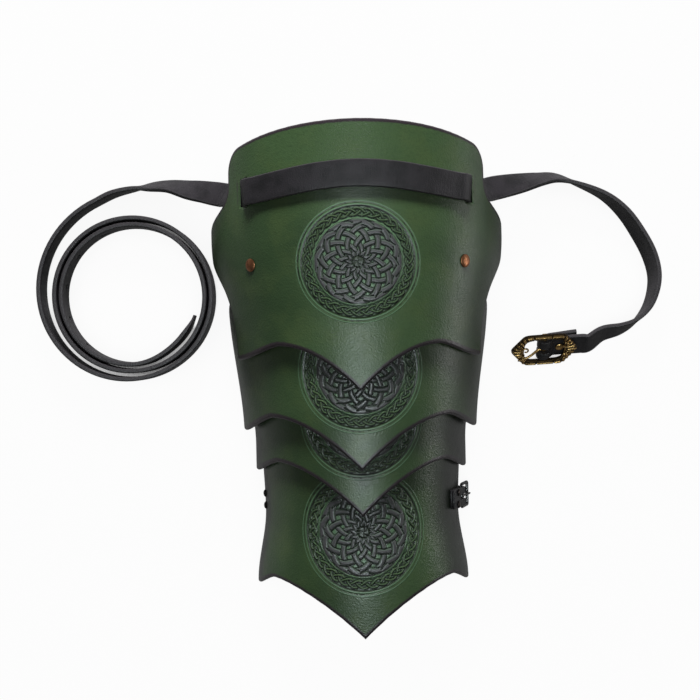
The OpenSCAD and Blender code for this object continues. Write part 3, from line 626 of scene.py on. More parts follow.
@dataclass(frozen=True)
class Metal:
    """A worn metal whose hollows hold dark patina, with painted shade round the rims of the rivet heads."""

    name: str
    bright: tuple
    patina: tuple
    rough: float
    worn: float

    def make(self) -> bpy.types.Material:
        """The metal's finish, which reads the attribute of patina and painted shade where a piece has one.
        """
        n = Nodes(self.name)
        patina_and_shade = n.step(n.attribute("patina_and_shade"), 0.15, 0.62)
        spots = n.step(n.noise(260, 5), 0.42, 0.68)
        dull = n.math("MAXIMUM", n.part(patina_and_shade, 0.95), n.part(spots, self.worn))
        tone = n.blend(dull, self.bright, self.patina)
        rough = n.math("ADD", n.part(dull, 0.25), self.rough)
        normal = n.bump(n.noise(1400, 3), 0.00012, 0.5)
        return n.surface(tone, rough, normal, Metallic=0.9)


class Finish(Enum):
    """The finishes, each made once. All but the flesh side are named as the record's slots."""

    PLATE = "plate_leather"
    FLESH = "flesh_side"
    STRAP = "strap_leather"
    COPPER = "copper"
    BRASS = "antique_brass"
    BRONZE = "dark_bronze"
    STEEL = "dark_steel"


class FinishSet:
    """Makes the finishes and dresses pieces in them."""

    def __init__(self) -> None:
        """Builds every finish."""
        metals = {
            Finish.COPPER: (srgb(160, 108, 76), srgb(70, 48, 36), 0.4, 0.55),
            Finish.BRASS: (srgb(184, 150, 96), srgb(36, 27, 19), 0.34, 0.4),
            Finish.BRONZE: (srgb(56, 50, 48), srgb(18, 16, 16), 0.36, 0.7),
            Finish.STEEL: (srgb(92, 90, 90), srgb(28, 28, 30), 0.3, 0.5),
        }
        self.made = {
            Finish.PLATE: PlateLeather().make(),
            Finish.FLESH: FleshSide().make(),
            Finish.STRAP: StrapLeather().make(),
            **{key: Metal(key.value, *look).make() for key, look in metals.items()},
        }

    def dress(self, piece: bpy.types.Object, *finishes: Finish) -> bpy.types.Object:
        """Gives a piece its materials in place of any that it had."""
        piece.data.materials.clear()
        for finish in finishes:
            piece.data.materials.append(self.made[finish])
        return piece


@dataclass(frozen=True)
class Plait:
    """One closed plait round a roundel's middle.

    A number of strands lie side by side and weave over and under each other, in so many loops on
    each edge, as in old plaited borders. Its middle line is a circle, and the strands swing to each
    side of it. A cut line as wide as the gap lies beside each strand.
    """

    strands: int
    loops: int
    middle: float
    swing: float
    width: float
    widening: float
    gap: float

    def laid(self, rho: np.ndarray, theta: np.ndarray) -> tuple:
        """The plait at points that lie rho from the middle, at angles theta round it.

        Returns:
            How far each point is up a strand and how far in a cut line, from 0 to 1.
        """
        k = np.arange(self.strands)[:, None]
        phase = self.loops * (theta[None, :] + 2 * math.pi * k) / self.strands
        line = self.middle + self.swing * np.cos(phase)
        turn = self.swing * self.loops / self.strands
        slope = turn * np.sin(phase) / np.maximum(rho[None, :], 2.0)
        off = np.abs(rho[None, :] - line) / np.sqrt(1 + slope * slope)
        over = np.sin((self.strands - 1) * phase)
        half = (self.width + self.widening * rho) / 2
        near = off < half + self.gap
        up = np.clip(1 - (off / half) ** 4, 0, 1)
        covered = np.zeros_like(near)
        for i in range(self.strands):
            covered |= near[i] & (over[i] > over + 1e-6)
        body = np.where(covered, 0.0, up).max(axis=0)
        cut = np.where(near.any(axis=0), 1 - ease(body / 0.5), 0.0)
        return body, cut


def ring(rho: np.ndarray, at: float, width: float) -> np.ndarray:
    """How far each point at a distance rho is in a ring of a width, from 0 to 1."""
    return np.clip(1 - np.abs(rho - at) / (width / 2), 0, 1)


@dataclass(frozen=True)
class Roundel:
    """The tooled roundel on each plate: plaitwork between rings, pressed into the leather.

    Each ring is given by its radius and its width.
    """

    radius: float = 44.8
    skirt: float = 2.1
    places: tuple = (88.5, 9.9, -24.2, -111.5)
    stretch: tuple = ((1.02, 0.97), (1.04, 1.02), (1.05, 1.04), (1.07, 1.06))
    pressed: float = 0.5
    raised: float = 0.3
    cut_deep: float = 0.3
    mat: Plait = Plait(7, 12, 17.8, 12.2, 1.9, 0.075, 0.55)
    border: Plait = Plait(3, 34, 37.4, 2.7, 1.5, 0.0, 0.5)
    boss_radius: float = 4.6
    mat_edge: float = 31.4
    field_radius: float = 42.0
    cord: tuple = (32.3, 1.6)
    grooves: tuple = ((41.8, 1.9), (44.5, 1.9), (31.0, 0.9))
    # Ring lines painted paler: rubbed leather and painted sheen.
    rubbed_and_sheen: tuple = ((43.15, 1.3, 0.85), (45.7, 1.2, 0.7))
    rings: int = 118
    spokes: int = 560

    def design(self, rho: np.ndarray, theta: np.ndarray) -> tuple:
        """The whole design at points that lie rho from the middle, at angles theta round it.

        Returns:
            The height over the plate in millimetres and the shares of dark stain, cut line and pale rubbed
            leather with a painted sheen.
        """
        mat, mat_cut = self.mat.laid(rho, theta)
        border, border_cut = self.border.laid(rho, theta)
        petal = 0.5 + 0.5 * np.cos(3 * theta + rho * 0.55)
        boss = ease((self.boss_radius - rho) / 1.2) * (0.45 + 0.55 * ease(petal * 1.6))
        cord = ring(rho, *self.cord)
        body = np.maximum.reduce([mat, border, boss, np.sqrt(cord)])
        inside = ease((self.field_radius - rho) / 0.8)
        grooves = [ring(rho, *groove) for groove in self.grooves]
        cut = np.clip(np.maximum.reduce([mat_cut, border_cut, *grooves]), 0, 1) * (1 - body * 0.6)
        sink = 0.7 * ease((rho - self.radius - 1.2) / 0.9)
        height = 0.1 - self.pressed * inside + (self.pressed + self.raised) * body * inside
        height = height - self.cut_deep * cut - sink
        darkening = np.clip(inside * (0.3 + 0.7 * ease(mat * 1.6) + 0.3 * boss), 0, 0.94)
        darkening = np.where(rho > self.mat_edge, darkening * 0.4, darkening)
        # Paler ring lines, field, cord and streaks: partly rubbed and pressed leather, partly a painted
        # sheen where it would catch the light.
        rubbed_and_sheen = [ring(rho, at, width) * share for at, width, share in self.rubbed_and_sheen]
        field_pale = np.clip(0.55 * (1 - body) - cut, 0, 1) * inside + 0.35 * cord
        veins = ring(np.mod(rho * 0.5 + 4 * theta, 2.0), 1.0, 0.9) * (rho < self.mat_edge - 0.9)
        pale = np.maximum.reduce([*rubbed_and_sheen, field_pale, 0.22 * veins * (1 - mat) * inside])
        return height, darkening, np.clip(cut * 0.95, 0, 0.95), pale

    def build(self, plate: Plate) -> bpy.types.Object:
        """Builds the roundel on one plate, a disc that lies in the plate's own face."""
        k, mid = plate.value, self.places[plate.value]
        rho = np.linspace(0.0, self.radius + self.skirt, self.rings)
        theta = np.linspace(0.0, 2 * math.pi, self.spokes + 1)
        rr, tt = np.meshgrid(rho, theta, indexing="ij")
        drawn = self.design(rr.ravel(), tt.ravel())
        height, darkening, cut, pale = (a.reshape(rr.shape) for a in drawn)
        across, along = self.stretch[k]
        y = mid + along * rr * np.cos(tt)
        t = np.degrees(across * rr * np.sin(tt) / FORM.half_w(k, y))
        bm = bmesh.new()
        marks = [bm.verts.layers.float.new(name) for name in ("ink", "line", "pale")]
        table = laid_grid(bm, FORM.skin(k, t, y, -height))
        for r, c in np.ndindex(rr.shape):
            for mark, share in zip(marks, (darkening, cut, pale)):
                table[r][c][mark] = float(share[r, c])
        bmesh.ops.remove_doubles(bm, verts=bm.verts, dist=0.002)
        rim = [e for e in bm.edges if e.is_boundary]
        low = bmesh.ops.extrude_edge_only(bm, edges=rim)["geom"]
        for v in (g for g in low if isinstance(g, bmesh.types.BMVert)):
            v.co.z -= 0.8
        close_up(bm, 0.001)
        return object_from(bm, plate.node + "_roundel")


@dataclass
class PlateMaker:
    """Builds the leather of the four plates."""

    finishes: FinishSet
    roundel: Roundel = Roundel()
    rounding: float = 1.8
    dip: float = 1.0
    # How dark and how wide each plate's flanks are made: antique stain and painted shade.
    darkening: tuple = (0.3, 0.5, 0.85, 0.9)
    darkening_width: tuple = (26.0, 40.0, 62.0, 62.0)
    rim_width: tuple = (1.5, 1.5, 1.5, 0.3)
    slot_cut: tuple = (18.0, 20.8, 4.4)
    slot_inside: tuple = (50.5, 6.0)
    slot_outside: tuple = (43.3, -2.6)
    slot_rims: tuple = (44.6, 49.2)
    columns: int = 96
    rows: int = 84

    def side_edge(self, k: int, side: float, count: int, depth: float) -> np.ndarray:
        """Points down plate k's side edge on side -1 or 1."""
        y = np.linspace(*FORM.side_ends(k, side), count)
        return FORM.skin(k, side * FORM.edge_deg(k, y), y, depth)

    def border(self, k: int, depth: float) -> np.ndarray:
        """Points round plate k's edge at a depth, about half a millimetre apart."""
        u = np.sin(np.linspace(-math.pi / 2, math.pi / 2, 900))
        runs = []
        for line in (FORM.top_line(k, u), FORM.low_line(k, u)):
            runs.append(FORM.skin(k, u * FORM.edge_deg(k, line), line, depth))
        return np.concatenate(runs + [self.side_edge(k, side, 360, depth) for side in (-1.0, 1.0)])

    def build(self, plate: Plate) -> bpy.types.Object:
        """Builds one plate with round edges, a dip under its roundel and, the upper one, slots."""
        k = plate.value
        u = np.sin(np.radians(90 * np.linspace(-1, 1, self.columns + 1)))
        r = (1 - np.cos(math.pi * np.linspace(0, 1, self.rows + 1))) / 2
        uu, rr = np.meshgrid(u, r)
        y = mix(FORM.top_line(k, uu), FORM.low_line(k, uu), rr)
        t = uu * FORM.edge_deg(k, y)
        flat = FORM.skin(k, t, y, 0.0)
        off = nearest_distances(flat.reshape(-1, 3), self.border(k, 0.0)).reshape(uu.shape)
        rest = np.clip(self.rounding - off, 0, self.rounding)
        drop = self.rounding - np.sqrt(self.rounding**2 - rest**2)
        across = np.radians(t) * FORM.half_w(k, y)
        wide, long = self.roundel.stretch[k]
        rho = np.hypot(across / wide, (y - self.roundel.places[k]) / long)
        dip = self.dip * ease((self.roundel.radius - 1.4 - rho) / 2.5)
        bm = bmesh.new()
        laid_grid(bm, FORM.skin(k, t, y, drop + dip))
        laid_grid(bm, FORM.skin(k, t, y, FORM.plate_t - drop))
        sides = [e for e in bm.edges if e.is_boundary]
        bmesh.ops.bridge_loops(bm, edges=sides)
        close_up(bm, 0.0001)
        piece = object_from(bm, plate.node + "_leather")
        if plate is Plate.UPPER:
            self.cut_slots(piece)
        self.mark_edges(piece, k)
        self.finishes.dress(piece, Finish.PLATE, Finish.FLESH)
        self.mark_flesh(piece, k)
        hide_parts(plate.node)
        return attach(piece, plate.body)

    def slot_way(self, side: int) -> tuple:
        """The middle of the strap's way through the slot on side -1 or 1, and the way out."""
        inner, outer = (FORM.skin(0, side * t, FORM.slot_y, d)
                        for t, d in (self.slot_inside, self.slot_outside))
        return (inner + outer) / 2, unit(outer - inner)

    def cut_slots(self, piece: bpy.types.Object) -> None:
        """Cuts the two strap slots along the strap's own way."""
        for side in (-1, 1):
            middle, way = self.slot_way(side)
            turn = Matrix.Rotation(-math.atan2(way[2], way[0]), 4, "Y")
            cut_with(piece, block(self.slot_cut, Matrix.Translation(middle) @ turn))

    def mark_edges(self, piece: bpy.types.Object, k: int) -> None:
        """Stores each vertex's distance from the burnished edges and slots, and its darkening: antique stain
        near the lower rim and on the flanks, with painted shade on the flanks.
        """
        places = vertex_places(piece)
        off = nearest_distances(places, self.border(k, FORM.plate_t / 2)) - FORM.plate_t / 2
        u = np.linspace(-1, 1, 900)
        line = FORM.low_line(k, u)
        rim = nearest_distances(places, FORM.skin(k, u * FORM.edge_deg(k, line), line, 0.0))
        rim_width = self.rim_width[k] + 0.8 * ease((np.abs(places[:, 0]) - 40) / 40)
        off = np.minimum(off, np.maximum(rim - rim_width, 0))
        # The flanks are painted darker towards their side edges, wider on the right: antique stain and
        # painted shade of flanks turned from the light.
        edges = [self.side_edge(k, side, 200, 0.0) for side in (-1.0, 1.0)]
        flank = np.minimum(*(nearest_distances(places, edge) for edge in edges))
        wide = self.darkening_width[k] * (1 + 0.35 * np.sign(places[:, 0]))
        stain_and_shade = self.darkening[k] * (1 - ease((flank - 0.45 * wide) / (0.55 * wide)))
        write_attribute(piece, "stain_and_shade", np.maximum(stain_and_shade, 0.3 * (1 - ease(rim / 7))))
        if k == 0:
            for side in (-1, 1):
                y = np.linspace(-11.3, 11.3, 40) + FORM.slot_y
                for t in self.slot_rims:
                    rim = FORM.skin(0, side * t, y, 0.5)
                    off = np.minimum(off, nearest_distances(places, rim) + 0.6)
        write_attribute(piece, "edge", np.clip(off, 0, 60))

    def mark_flesh(self, piece: bpy.types.Object, k: int) -> None:
        """Gives the faces of the inner side the flesh finish."""
        for face in piece.data.polygons:
            c = face.center / MM
            a, b = float(FORM.half_w(k, c.y)), float(FORM.crown_z(k, c.y))
            inward = -(c.x * face.normal.x / a**2 + c.z * face.normal.z / b**2)
            deep = math.hypot(c.x / a, c.z / b) < 1 - (FORM.plate_t - 1.3) / max(a, b)
            face.material_index = 1 if inward > 0 and deep else 0

    def build_all(self) -> None:
        """Builds the four plates and their roundels."""
        for plate in Plate:
            piece = self.build(plate)
            disc = self.finishes.dress(self.roundel.build(plate), Finish.PLATE)
            write_attribute(disc, "edge", np.full(len(disc.data.vertices), 40.0))
            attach(disc, plate.body)
            log.info("%s: %d faces", piece.name, len(piece.data.polygons))
            log.info("%s: %d faces", disc.name, len(disc.data.polygons))


def band(name: str, centres: np.ndarray, across: np.ndarray, width: float, thick: float,
         corner: float, tip: float = 0.0) -> bpy.types.Object:
    """A flat strap with round edges along a line.

    Args:
        name: The piece's name.
        centres: Points of its middle line in millimetres.
        across: Its width direction, one for all or one for each point.
        width: Width.
        thick: Thickness.
        corner: Radius of its four long edges.
        tip: How far from its first point the end narrows to a blunt, skived point, or 0 for square.

    Returns:
        The strap, with the attributes edge and along.
    """
    run = unit(np.gradient(centres, axis=0))
    side = unit(across - (across * run).sum(1, keepdims=True) * run)
    out = np.cross(side, run)
    hw, ht = width / 2, thick / 2
    section = round_box(hw, ht, corner, 5)
    flat = []
    for (w, h), (next_w, _) in zip(section, np.roll(section, -1, axis=0)):
        flat.append((w, h))
        if abs(next_w - w) > 2 * corner:
            flat += [(mix(w, next_w, s), h) for s in (0.2, 0.4, 0.6, 0.8)]
    profile = np.array(flat + [flat[0]])
    steps = np.linalg.norm(np.diff(centres, axis=0), axis=1)
    along = np.concatenate([[0.0], np.cumsum(steps)])
    narrow, thin = np.ones(len(centres)), np.ones(len(centres))
    if tip > 0:
        narrow = 0.55 + 0.45 * ease(along / tip)
        thin = 0.4 + 0.6 * ease(along / (1.6 * tip))
    wide = profile[None, :, 0] * narrow[:, None]
    height = profile[None, :, 1] * thin[:, None] + (1 - thin[:, None]) * ht
    rows = (centres[:, None, :] + wide[:, :, None] * side[:, None, :]
            + height[:, :, None] * out[:, None, :])
    bm = bmesh.new()
    marks = {key: bm.verts.layers.float.new(key) for key in ("edge", "along")}
    table = laid_grid(bm, rows)
    for r, row in enumerate(table):
        for c, v in enumerate(row):
            v[marks["edge"]] = max(0.0, hw - abs(profile[c, 0]))
            v[marks["along"]] = float(along[r])
    close_up(bm, 0.0002)
    return object_from(bm, name)


@dataclass(frozen=True)
class BuckleFrame:
    """Where the main buckle lies: x along it, y along its bar and z away from the leather."""

    x: float = 150.6
    y: float = 21.5
    roll: float = 46.0
    yaw: float = 2.9
    strap_w: float = 20.0
    strap_t: float = 3.6
    frame_t: float = 4.0
    bar_r: float = 2.0
    bar_drop: float = 3.0

    @property
    def top_layer(self) -> float:
        """Middle of the strap's upper layer under the frame."""
        return -self.frame_t / 2 - 0.5 - self.strap_t / 2

    @property
    def low_layer(self) -> float:
        """Middle of the strap's lower layer."""
        return self.top_layer - self.strap_t - 0.1

    @property
    def matrix(self) -> Matrix:
        """The frame's own coordinates to the pauldron's, in millimetres."""
        roll = math.radians(self.roll)
        edge, depth = self.strap_w / 2, self.strap_t / 2 - self.low_layer
        z = edge * math.sin(roll) + depth * math.cos(roll) + 0.1
        turn = Matrix.Rotation(math.radians(self.yaw), 4, "Z") @ Matrix.Rotation(roll, 4, "X")
        return Matrix.Translation((self.x, self.y, z)) @ turn

    def out(self, x: float, y: float, z: float) -> np.ndarray:
        """A point of the frame's own coordinates in the pauldron's."""
        return np.array(self.matrix @ Vector((x, y, z)))

    def turned(self, x: float, y: float, z: float) -> np.ndarray:
        """A direction of the frame's own coordinates in the pauldron's."""
        return np.array(self.matrix.to_3x3() @ Vector((x, y, z)))


BUCKLE = BuckleFrame()


@dataclass
class ShoulderStrap:
    """The long strap: its coiled free end, left run, way over the crown, right run and fold.

    Stops of three numbers are x, y and roll, and rest on the table. Stops of four have their z too.
    The crown's stops are the angle from the crown, the depth under the plate and the roll.
    """

    finishes: FinishSet
    width: float = BUCKLE.strap_w
    thick: float = BUCKLE.strap_t
    coil_inner: float = 52.4
    pitch: float = 5.4
    slack: float = 14.0
    slack_turn: float = 200.0
    tail: float = 2.5
    coil_start: float = 110.0
    coil_end: float = 1062.0
    coil_y: float = 72.0
    stand_off: float = 9.7
    run_sag: float = 4.0
    run_rise: float = 0.26
    slot_deg: float = 46.9
    rise_from_deg: float = 50.5
    left: tuple = ((-197.4, 156.1, 90), (-180, 160, 84), (-165.8, 161.2, 11.5, 67),
                   (-149.7, 160.6, 15, 57), (-133.5, 156.6, 20, 36), (-120.6, 153.9, 24, 24),
                   (-112.5, 151.8, 28, 14))
    crown: tuple = ((70, 8, 10), (64, 7.5, 6), (57, 6.6, 2), (50.5, 6, 0), (43.3, -2.6, 0))
    right: tuple = ((112.5, 152, 28, 14), (131, 156.2, 21, 33), (149, 160.2, 15.5, 55),
                    (164, 161.6, 11.8, 67), (181, 156.7, 81), (202.8, 146.4, 92),
                    (218.8, 132.2, 101), (231, 114, 105), (239, 97.8, 105), (242.7, 81.8, 101),
                    (241.2, 67.4, 97), (235.6, 54, 91), (225.6, 43.2, 80), (214, 37.4, 68),
                    (199, 33.8, 57))
    holes: int = 7
    first_hole: float = 55.0
    hole_pitch: float = 25.0
    hole_r: float = 2.0
    prong_slot: tuple = (12.5, 4.8, 14.0)

    @property
    def coil_x(self) -> float:
        """The coil's centre, which keeps clear of the flank."""
        turns = (self.coil_end - 360) / 360
        clear = FORM.mouth_half_w + self.stand_off
        return -clear - self.coil_inner - self.thick - self.pitch * turns

    def coil_r(self, q: np.ndarray) -> np.ndarray:
        """Radius of the coil's middle line at angle q."""
        q = np.asarray(q, float)
        loose = np.maximum(0, 1 - (q - self.coil_start) / self.slack_turn) ** 1.6
        return (self.coil_inner + self.thick / 2 + self.pitch * (self.coil_end - q) / 360
                + self.slack * loose - self.tail * ease((q - self.coil_end + 75) / 45))

    def coil_point(self, q: np.ndarray) -> np.ndarray:
        """Points of the coil's middle line, half the strap's width up."""
        q = np.asarray(q, float)
        r, a = self.coil_r(q), np.radians(q)
        x, y = self.coil_x + r * np.cos(a), self.coil_y + r * np.sin(a)
        return np.stack([x, y, np.full_like(x, self.width / 2)], axis=-1)

    def on_table(self, x: float, y: float, roll: float) -> list:
        """A stop where the strap's edge rests on the table."""
        a = math.radians(roll)
        return [x, y, self.width / 2 * math.sin(a) + self.thick / 2 * math.cos(a), roll]

    def on_crown(self, t: float, d: float, roll: float) -> list:
        """A stop on or under the upper plate."""
        sag = self.run_sag * (1 + math.cos(math.radians(180 * min(1, abs(t) / self.slot_deg))))
        y = FORM.slot_y + sag + self.run_rise * max(0, abs(t) - self.rise_from_deg)
        return [*FORM.skin(0, t, y, d), roll]

    def stops(self) -> list:
        """The strap's stops as x, y, z and roll, from the coil to the buckle."""
        gate = self.coil_point(self.coil_start)
        left, right = ([self.on_table(*s) if len(s) == 3 else list(s) for s in side]
                       for side in (self.left, self.right))
        rising = [self.on_crown(-t, d, roll) for t, d, roll in self.crown]
        top = [self.on_crown(t, -self.thick / 2 - 0.6, 0) for t in np.arange(-38, 38.1, 12.6)]
        falling = [self.on_crown(*s) for s in self.crown[::-1]]
        ends = [[*BUCKLE.out(x, 0, BUCKLE.top_layer), roll] for x, roll in ((37.0, 50), (31.0, 46))]
        return [self.on_table(gate[0], gate[1], 90), *left, *rising, *top, *falling, *right, *ends]

    def run(self) -> tuple:
        """The smooth line through the stops.

        Returns:
            Its points and the strap's width direction at each.
        """
        stops = np.array(self.stops(), float)
        q = self.coil_start
        way = unit(self.coil_point(q - 0.5) - self.coil_point(q + 0.5))
        before = np.concatenate([stops[1][:3] - 24 * way, [90]])
        before[2] = stops[1][2]
        after = np.concatenate([BUCKLE.out(22.0, 0, BUCKLE.top_layer), [46]])
        full = np.vstack([before, stops, after])
        points = []
        for i in range(1, len(full) - 2):
            a, b, c, d = full[i - 1:i + 3]
            for s in np.arange(0, 1, 1 / 8):
                points.append(0.5 * (2 * b + (c - a) * s + (2 * a - 5 * b + 4 * c - d) * s * s
                                     + (3 * b - a - 3 * c + d) * s**3))
        points = np.array(points + [full[-2]])
        centres = points[:, :3]
        ahead = unit(np.gradient(centres, axis=0))
        level = unit(np.cross(ahead, [0, 0, 1]))
        rise = np.cross(level, ahead)
        roll = np.radians(points[:, 3:4])
        return centres, np.cos(roll) * level + np.sin(roll) * rise

    def fold(self) -> tuple:
        """The fold round the buckle's bar, in the same form as run()."""
        r, low, top = BUCKLE.bar_r + 0.08 + self.thick / 2, BUCKLE.low_layer, BUCKLE.top_layer
        flat = [(x, 0.0, top) for x in (28, 25, 22, 19, 16, 13, 10.6, 9.1)]
        flat += [(x, 0.0, top + lift) for x, lift in ((8.2, 0.04), (7.4, 0.28), (6.3, 0.95),
                                                      (5.2, 1.8), (4.0, 2.85))]
        flat += [(r * math.cos(a), 0.0, -BUCKLE.bar_drop + r * math.sin(a))
                 for a in np.radians(np.arange(54, 253, 12))]
        flat += [(2.2, 0.0, low + 0.85), (5.0, 0.1, low + 0.22)]
        tail = [(x, 2.1 * ease((x - 5) / 24), low) for x in (8, 11, 14, 17, 20, 23, 26, 27)]
        centres = np.array([BUCKLE.out(*p) for p in flat + tail])
        skew = math.radians(5)
        ways = [BUCKLE.turned(0, 1, 0), unit(BUCKLE.turned(-math.sin(skew), math.cos(skew), 0))]
        return centres, np.repeat(ways, (len(flat), len(tail)), axis=0)

    def build(self) -> bpy.types.Object:
        """Builds the whole strap with its punched holes and the prong's slot."""
        q = np.arange(self.coil_end, self.coil_start, -4.0)
        up = np.tile([0.0, 0.0, 1.0], (len(q), 1))
        run, run_way = self.run()
        fold, fold_way = self.fold()
        centres = np.vstack([self.coil_point(q), run, fold])
        way = np.vstack([up, run_way, fold_way])
        strap = band("shoulder_strap_leather", centres, way, self.width, self.thick, 1.0, 12.0)
        holes = []
        for i in range(self.holes):
            reach = self.first_hole + self.hole_pitch * i
            at = self.coil_end - math.degrees(reach / float(self.coil_r(self.coil_end)))
            turn = Matrix.Rotation(math.radians(at), 4, "Z") @ Matrix.Rotation(math.pi / 2, 4, "Y")
            holes.append(Matrix.Translation(self.coil_point(at)) @ turn)
        cut_with(strap, punches(holes, self.hole_r, 4.2, 20))
        cut_with(strap, block(self.prong_slot, BUCKLE.matrix, (-1.25, 0, -3.0)))
        self.finishes.dress(strap, Finish.STRAP)
        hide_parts("shoulder_strap", "strap_coil", "buckle_fold")
        log.info("%s: %d faces", strap.name, len(strap.data.polygons))
        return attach(strap, "upper")


@dataclass
class HangerStraps:
    """The two inner straps that the lames hang on, each a row of pieces that bend at the hinges."""

    finishes: FinishSet
    width: float = 14.0
    thick: float = 2.5
    hanger_x: float = 80.5
    over_top: float = 9.5
    rivet_over_hinge: float = 11.0
    rivet_from_top: float = 14.0
    end_reach: float = 9.0
    second_shift: float = 8.0
    ramp: float = 10.5
    seat: float = 0.4

    @property
    def angle(self) -> float:
        """Angle of the straps from the crown."""
        return math.degrees(math.asin(self.hanger_x / float(FORM.half_w(0, self.rivet_y(0)))))

    def hinge_y(self, k: int) -> float:
        """Place of the bend above plate k."""
        return FORM.top_y(k) + self.over_top

    def rivet_y(self, k: int) -> float:
        """Place of plate k's hanger rivets."""
        if k == 0:
            return self.hinge_y(1) + self.rivet_over_hinge
        return FORM.top_y(k) - self.rivet_from_top

    def middle(self, y: float, side: int) -> np.ndarray:
        """Middle of the strap's thickness at place y on one side."""
        depth = FORM.plate_t + self.seat + self.thick / 2
        k = 0
        while k < 3 and y < self.hinge_y(k + 1):
            k += 1
        here = FORM.skin(k, side * self.angle, y, depth)
        if k == 0:
            return here
        share = float(ease((self.hinge_y(k) - y) / self.ramp))
        return mix(FORM.skin(k - 1, side * self.angle, y, depth), here, share)

    def build(self) -> None:
        """Builds three bending pieces a side, cut at the middle of each lame's stretch."""
        bodies = [plate.body for plate in Plate]
        hinges = [self.hinge_y(k) for k in (1, 2, 3)]
        cuts = [self.rivet_y(0) + self.end_reach, (hinges[0] + hinges[1]) / 2 - self.second_shift,
                (hinges[1] + hinges[2]) / 2, self.rivet_y(3) - self.end_reach]
        for side, word in ((-1, "left"), (1, "right")):
            for j, hinge in enumerate(hinges):
                y = np.linspace(cuts[j], cuts[j + 1], 22)
                centres = np.array([self.middle(v, side) for v in y])
                normals = np.array([FORM.normal(j + 1, side * self.angle, v) for v in y])
                across = np.cross(unit(np.gradient(centres, axis=0)), normals)
                name = f"hanger_strap_{word}_{j + 1}"
                piece = band(name, centres, across, self.width, self.thick, 0.7)
                self.finishes.dress(piece, Finish.STRAP)
                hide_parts(f"{bodies[j]}_hanger_{word}", f"{bodies[j + 1]}_hanger_{word}")
                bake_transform(piece, bodies[j], bodies[j + 1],
                         start=(0, (hinge + 5) * MM, 0.07), end=(0, (hinge - 5) * MM, 0.07))
        log.info("hanger straps: 6 pieces")


@dataclass(frozen=True)
class RivetSize:
    """One kind of rivet: the width and height of its head, its post's radius and what it holds."""

    diameter: float
    height: float
    post: float
    grip: float


@dataclass
class Rivets:
    """The rivets, whose heads are domes with a soft edge."""

    finishes: FinishSet
    hangers: HangerStraps
    shown: RivetSize = RivetSize(10.0, 1.8, 1.5, 6.4)
    hidden: RivetSize = RivetSize(8.0, 1.1, 1.5, 6.4)
    fold: RivetSize = RivetSize(7.4, 1.8, 1.2, 7.3)
    arm: RivetSize = RivetSize(6.0, 2.0, 1.2, 6.3)
    tab: RivetSize = RivetSize(6.0, 1.6, 1.2, 7.8)
    fold_x: float = 12.9
    arm_deg: float = -78.0
    tab_deg: float = 66.0
    tab_lift: float = 4.3
    arm_apart: float = 4.8

    def head(self, name: str, matrix: Matrix, size: RivetSize) -> bpy.types.Object:
        """A head with its post and its clenched end, on a seat whose Z points outward."""
        bm = bmesh.new()
        r, post, clench = size.diameter / 2, size.post, -size.grip - 1.375
        profile = [(0.0, clench - 0.8), (post + 0.4, clench - 0.8), (post + 0.7, clench),
                   (post, clench), (post, 0.05), (r - 0.25, 0.05), (r, 0.3)]
        profile += [(r * math.cos(a), 0.3 + (size.height - 0.3) * math.sin(a))
                    for a in np.radians(np.arange(12, 91, 13))]
        turned(bm, [(x, 0, z) for x, z in profile], (0, 0, 1), 32)
        patina_and_shade = bm.verts.layers.float.new("patina_and_shade")
        # Dark round the dome's rim and down the post: patina and painted shade at the head's edge.
        for v in bm.verts:
            v[patina_and_shade] = float(0.75 - 0.75 * ease(v.co.z / size.height * 1.3))
        bmesh.ops.transform(bm, matrix=matrix, verts=bm.verts)
        return object_from(bm, name)

    def seat(self, k: int, t: float, y: float, lift: float = 0.0) -> Matrix:
        """A seat on plate k's outer face."""
        normal = Vector(FORM.normal(k, t, y))
        spot = Vector(FORM.skin(k, t, y, 0)) + normal * lift
        return Matrix.Translation(spot) @ normal.to_track_quat("Z", "Y").to_matrix().to_4x4()

    def arm_pair(self, t: float, lift: float = 0.0) -> list:
        """Two seats beside each other on the lower lame, where the arm strap is."""
        return [self.seat(3, t, FORM.arm_y + side * self.arm_apart, lift) for side in (-1, 1)]

    def place(self, name: str, seats: Sequence[Matrix], size: RivetSize, finish: Finish, body: str,
              node: str) -> None:
        """Sets a row of equal rivets in their seats as one piece.

        Args:
            name: The piece's name.
            seats: One seat a rivet.
            size: Their size.
            finish: The metal.
            body: The body that it rides on.
            node: The CAD node that it stands for.
        """
        made = [self.head(f"{name}_{i}", seat, size) for i, seat in enumerate(seats)]
        with bpy.context.temp_override(active_object=made[0], selected_editable_objects=made):
            bpy.ops.object.join()
        piece, slot = made[0], finish.value
        piece.name = piece.data.name = name
        self.finishes.dress(piece, finish)
        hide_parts(node)
        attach(piece, body)

    def build(self) -> None:
        """Builds every rivet."""
        t = self.hangers.angle
        for plate in Plate:
            size = self.shown if plate is Plate.UPPER else self.hidden
            y = self.hangers.rivet_y(plate.value)
            seats = [self.seat(plate.value, side * t, y) for side in (-1, 1)]
            name, node = f"{plate.body}_rivet_heads", f"{plate.body}_rivets"
            self.place(name, seats, size, Finish.COPPER, plate.body, node)
        on_fold = Matrix.Translation((self.fold_x, 0, BUCKLE.top_layer + BUCKLE.strap_t / 2))
        others = (
            ("fold_rivet_head", [BUCKLE.matrix @ on_fold], self.fold, Finish.BRASS, "upper",
             "fold_rivet"),
            ("arm_strap_rivet_heads", self.arm_pair(self.arm_deg), self.arm, Finish.BRONZE, "lower",
             "arm_strap_rivets"),
            ("arm_tab_rivet_heads", self.arm_pair(self.tab_deg, self.tab_lift), self.tab,
             Finish.BRONZE, "lower", "arm_tab_rivets"),
        )
        for row in others:
            self.place(*row)
        log.info("rivets: 7 pieces")


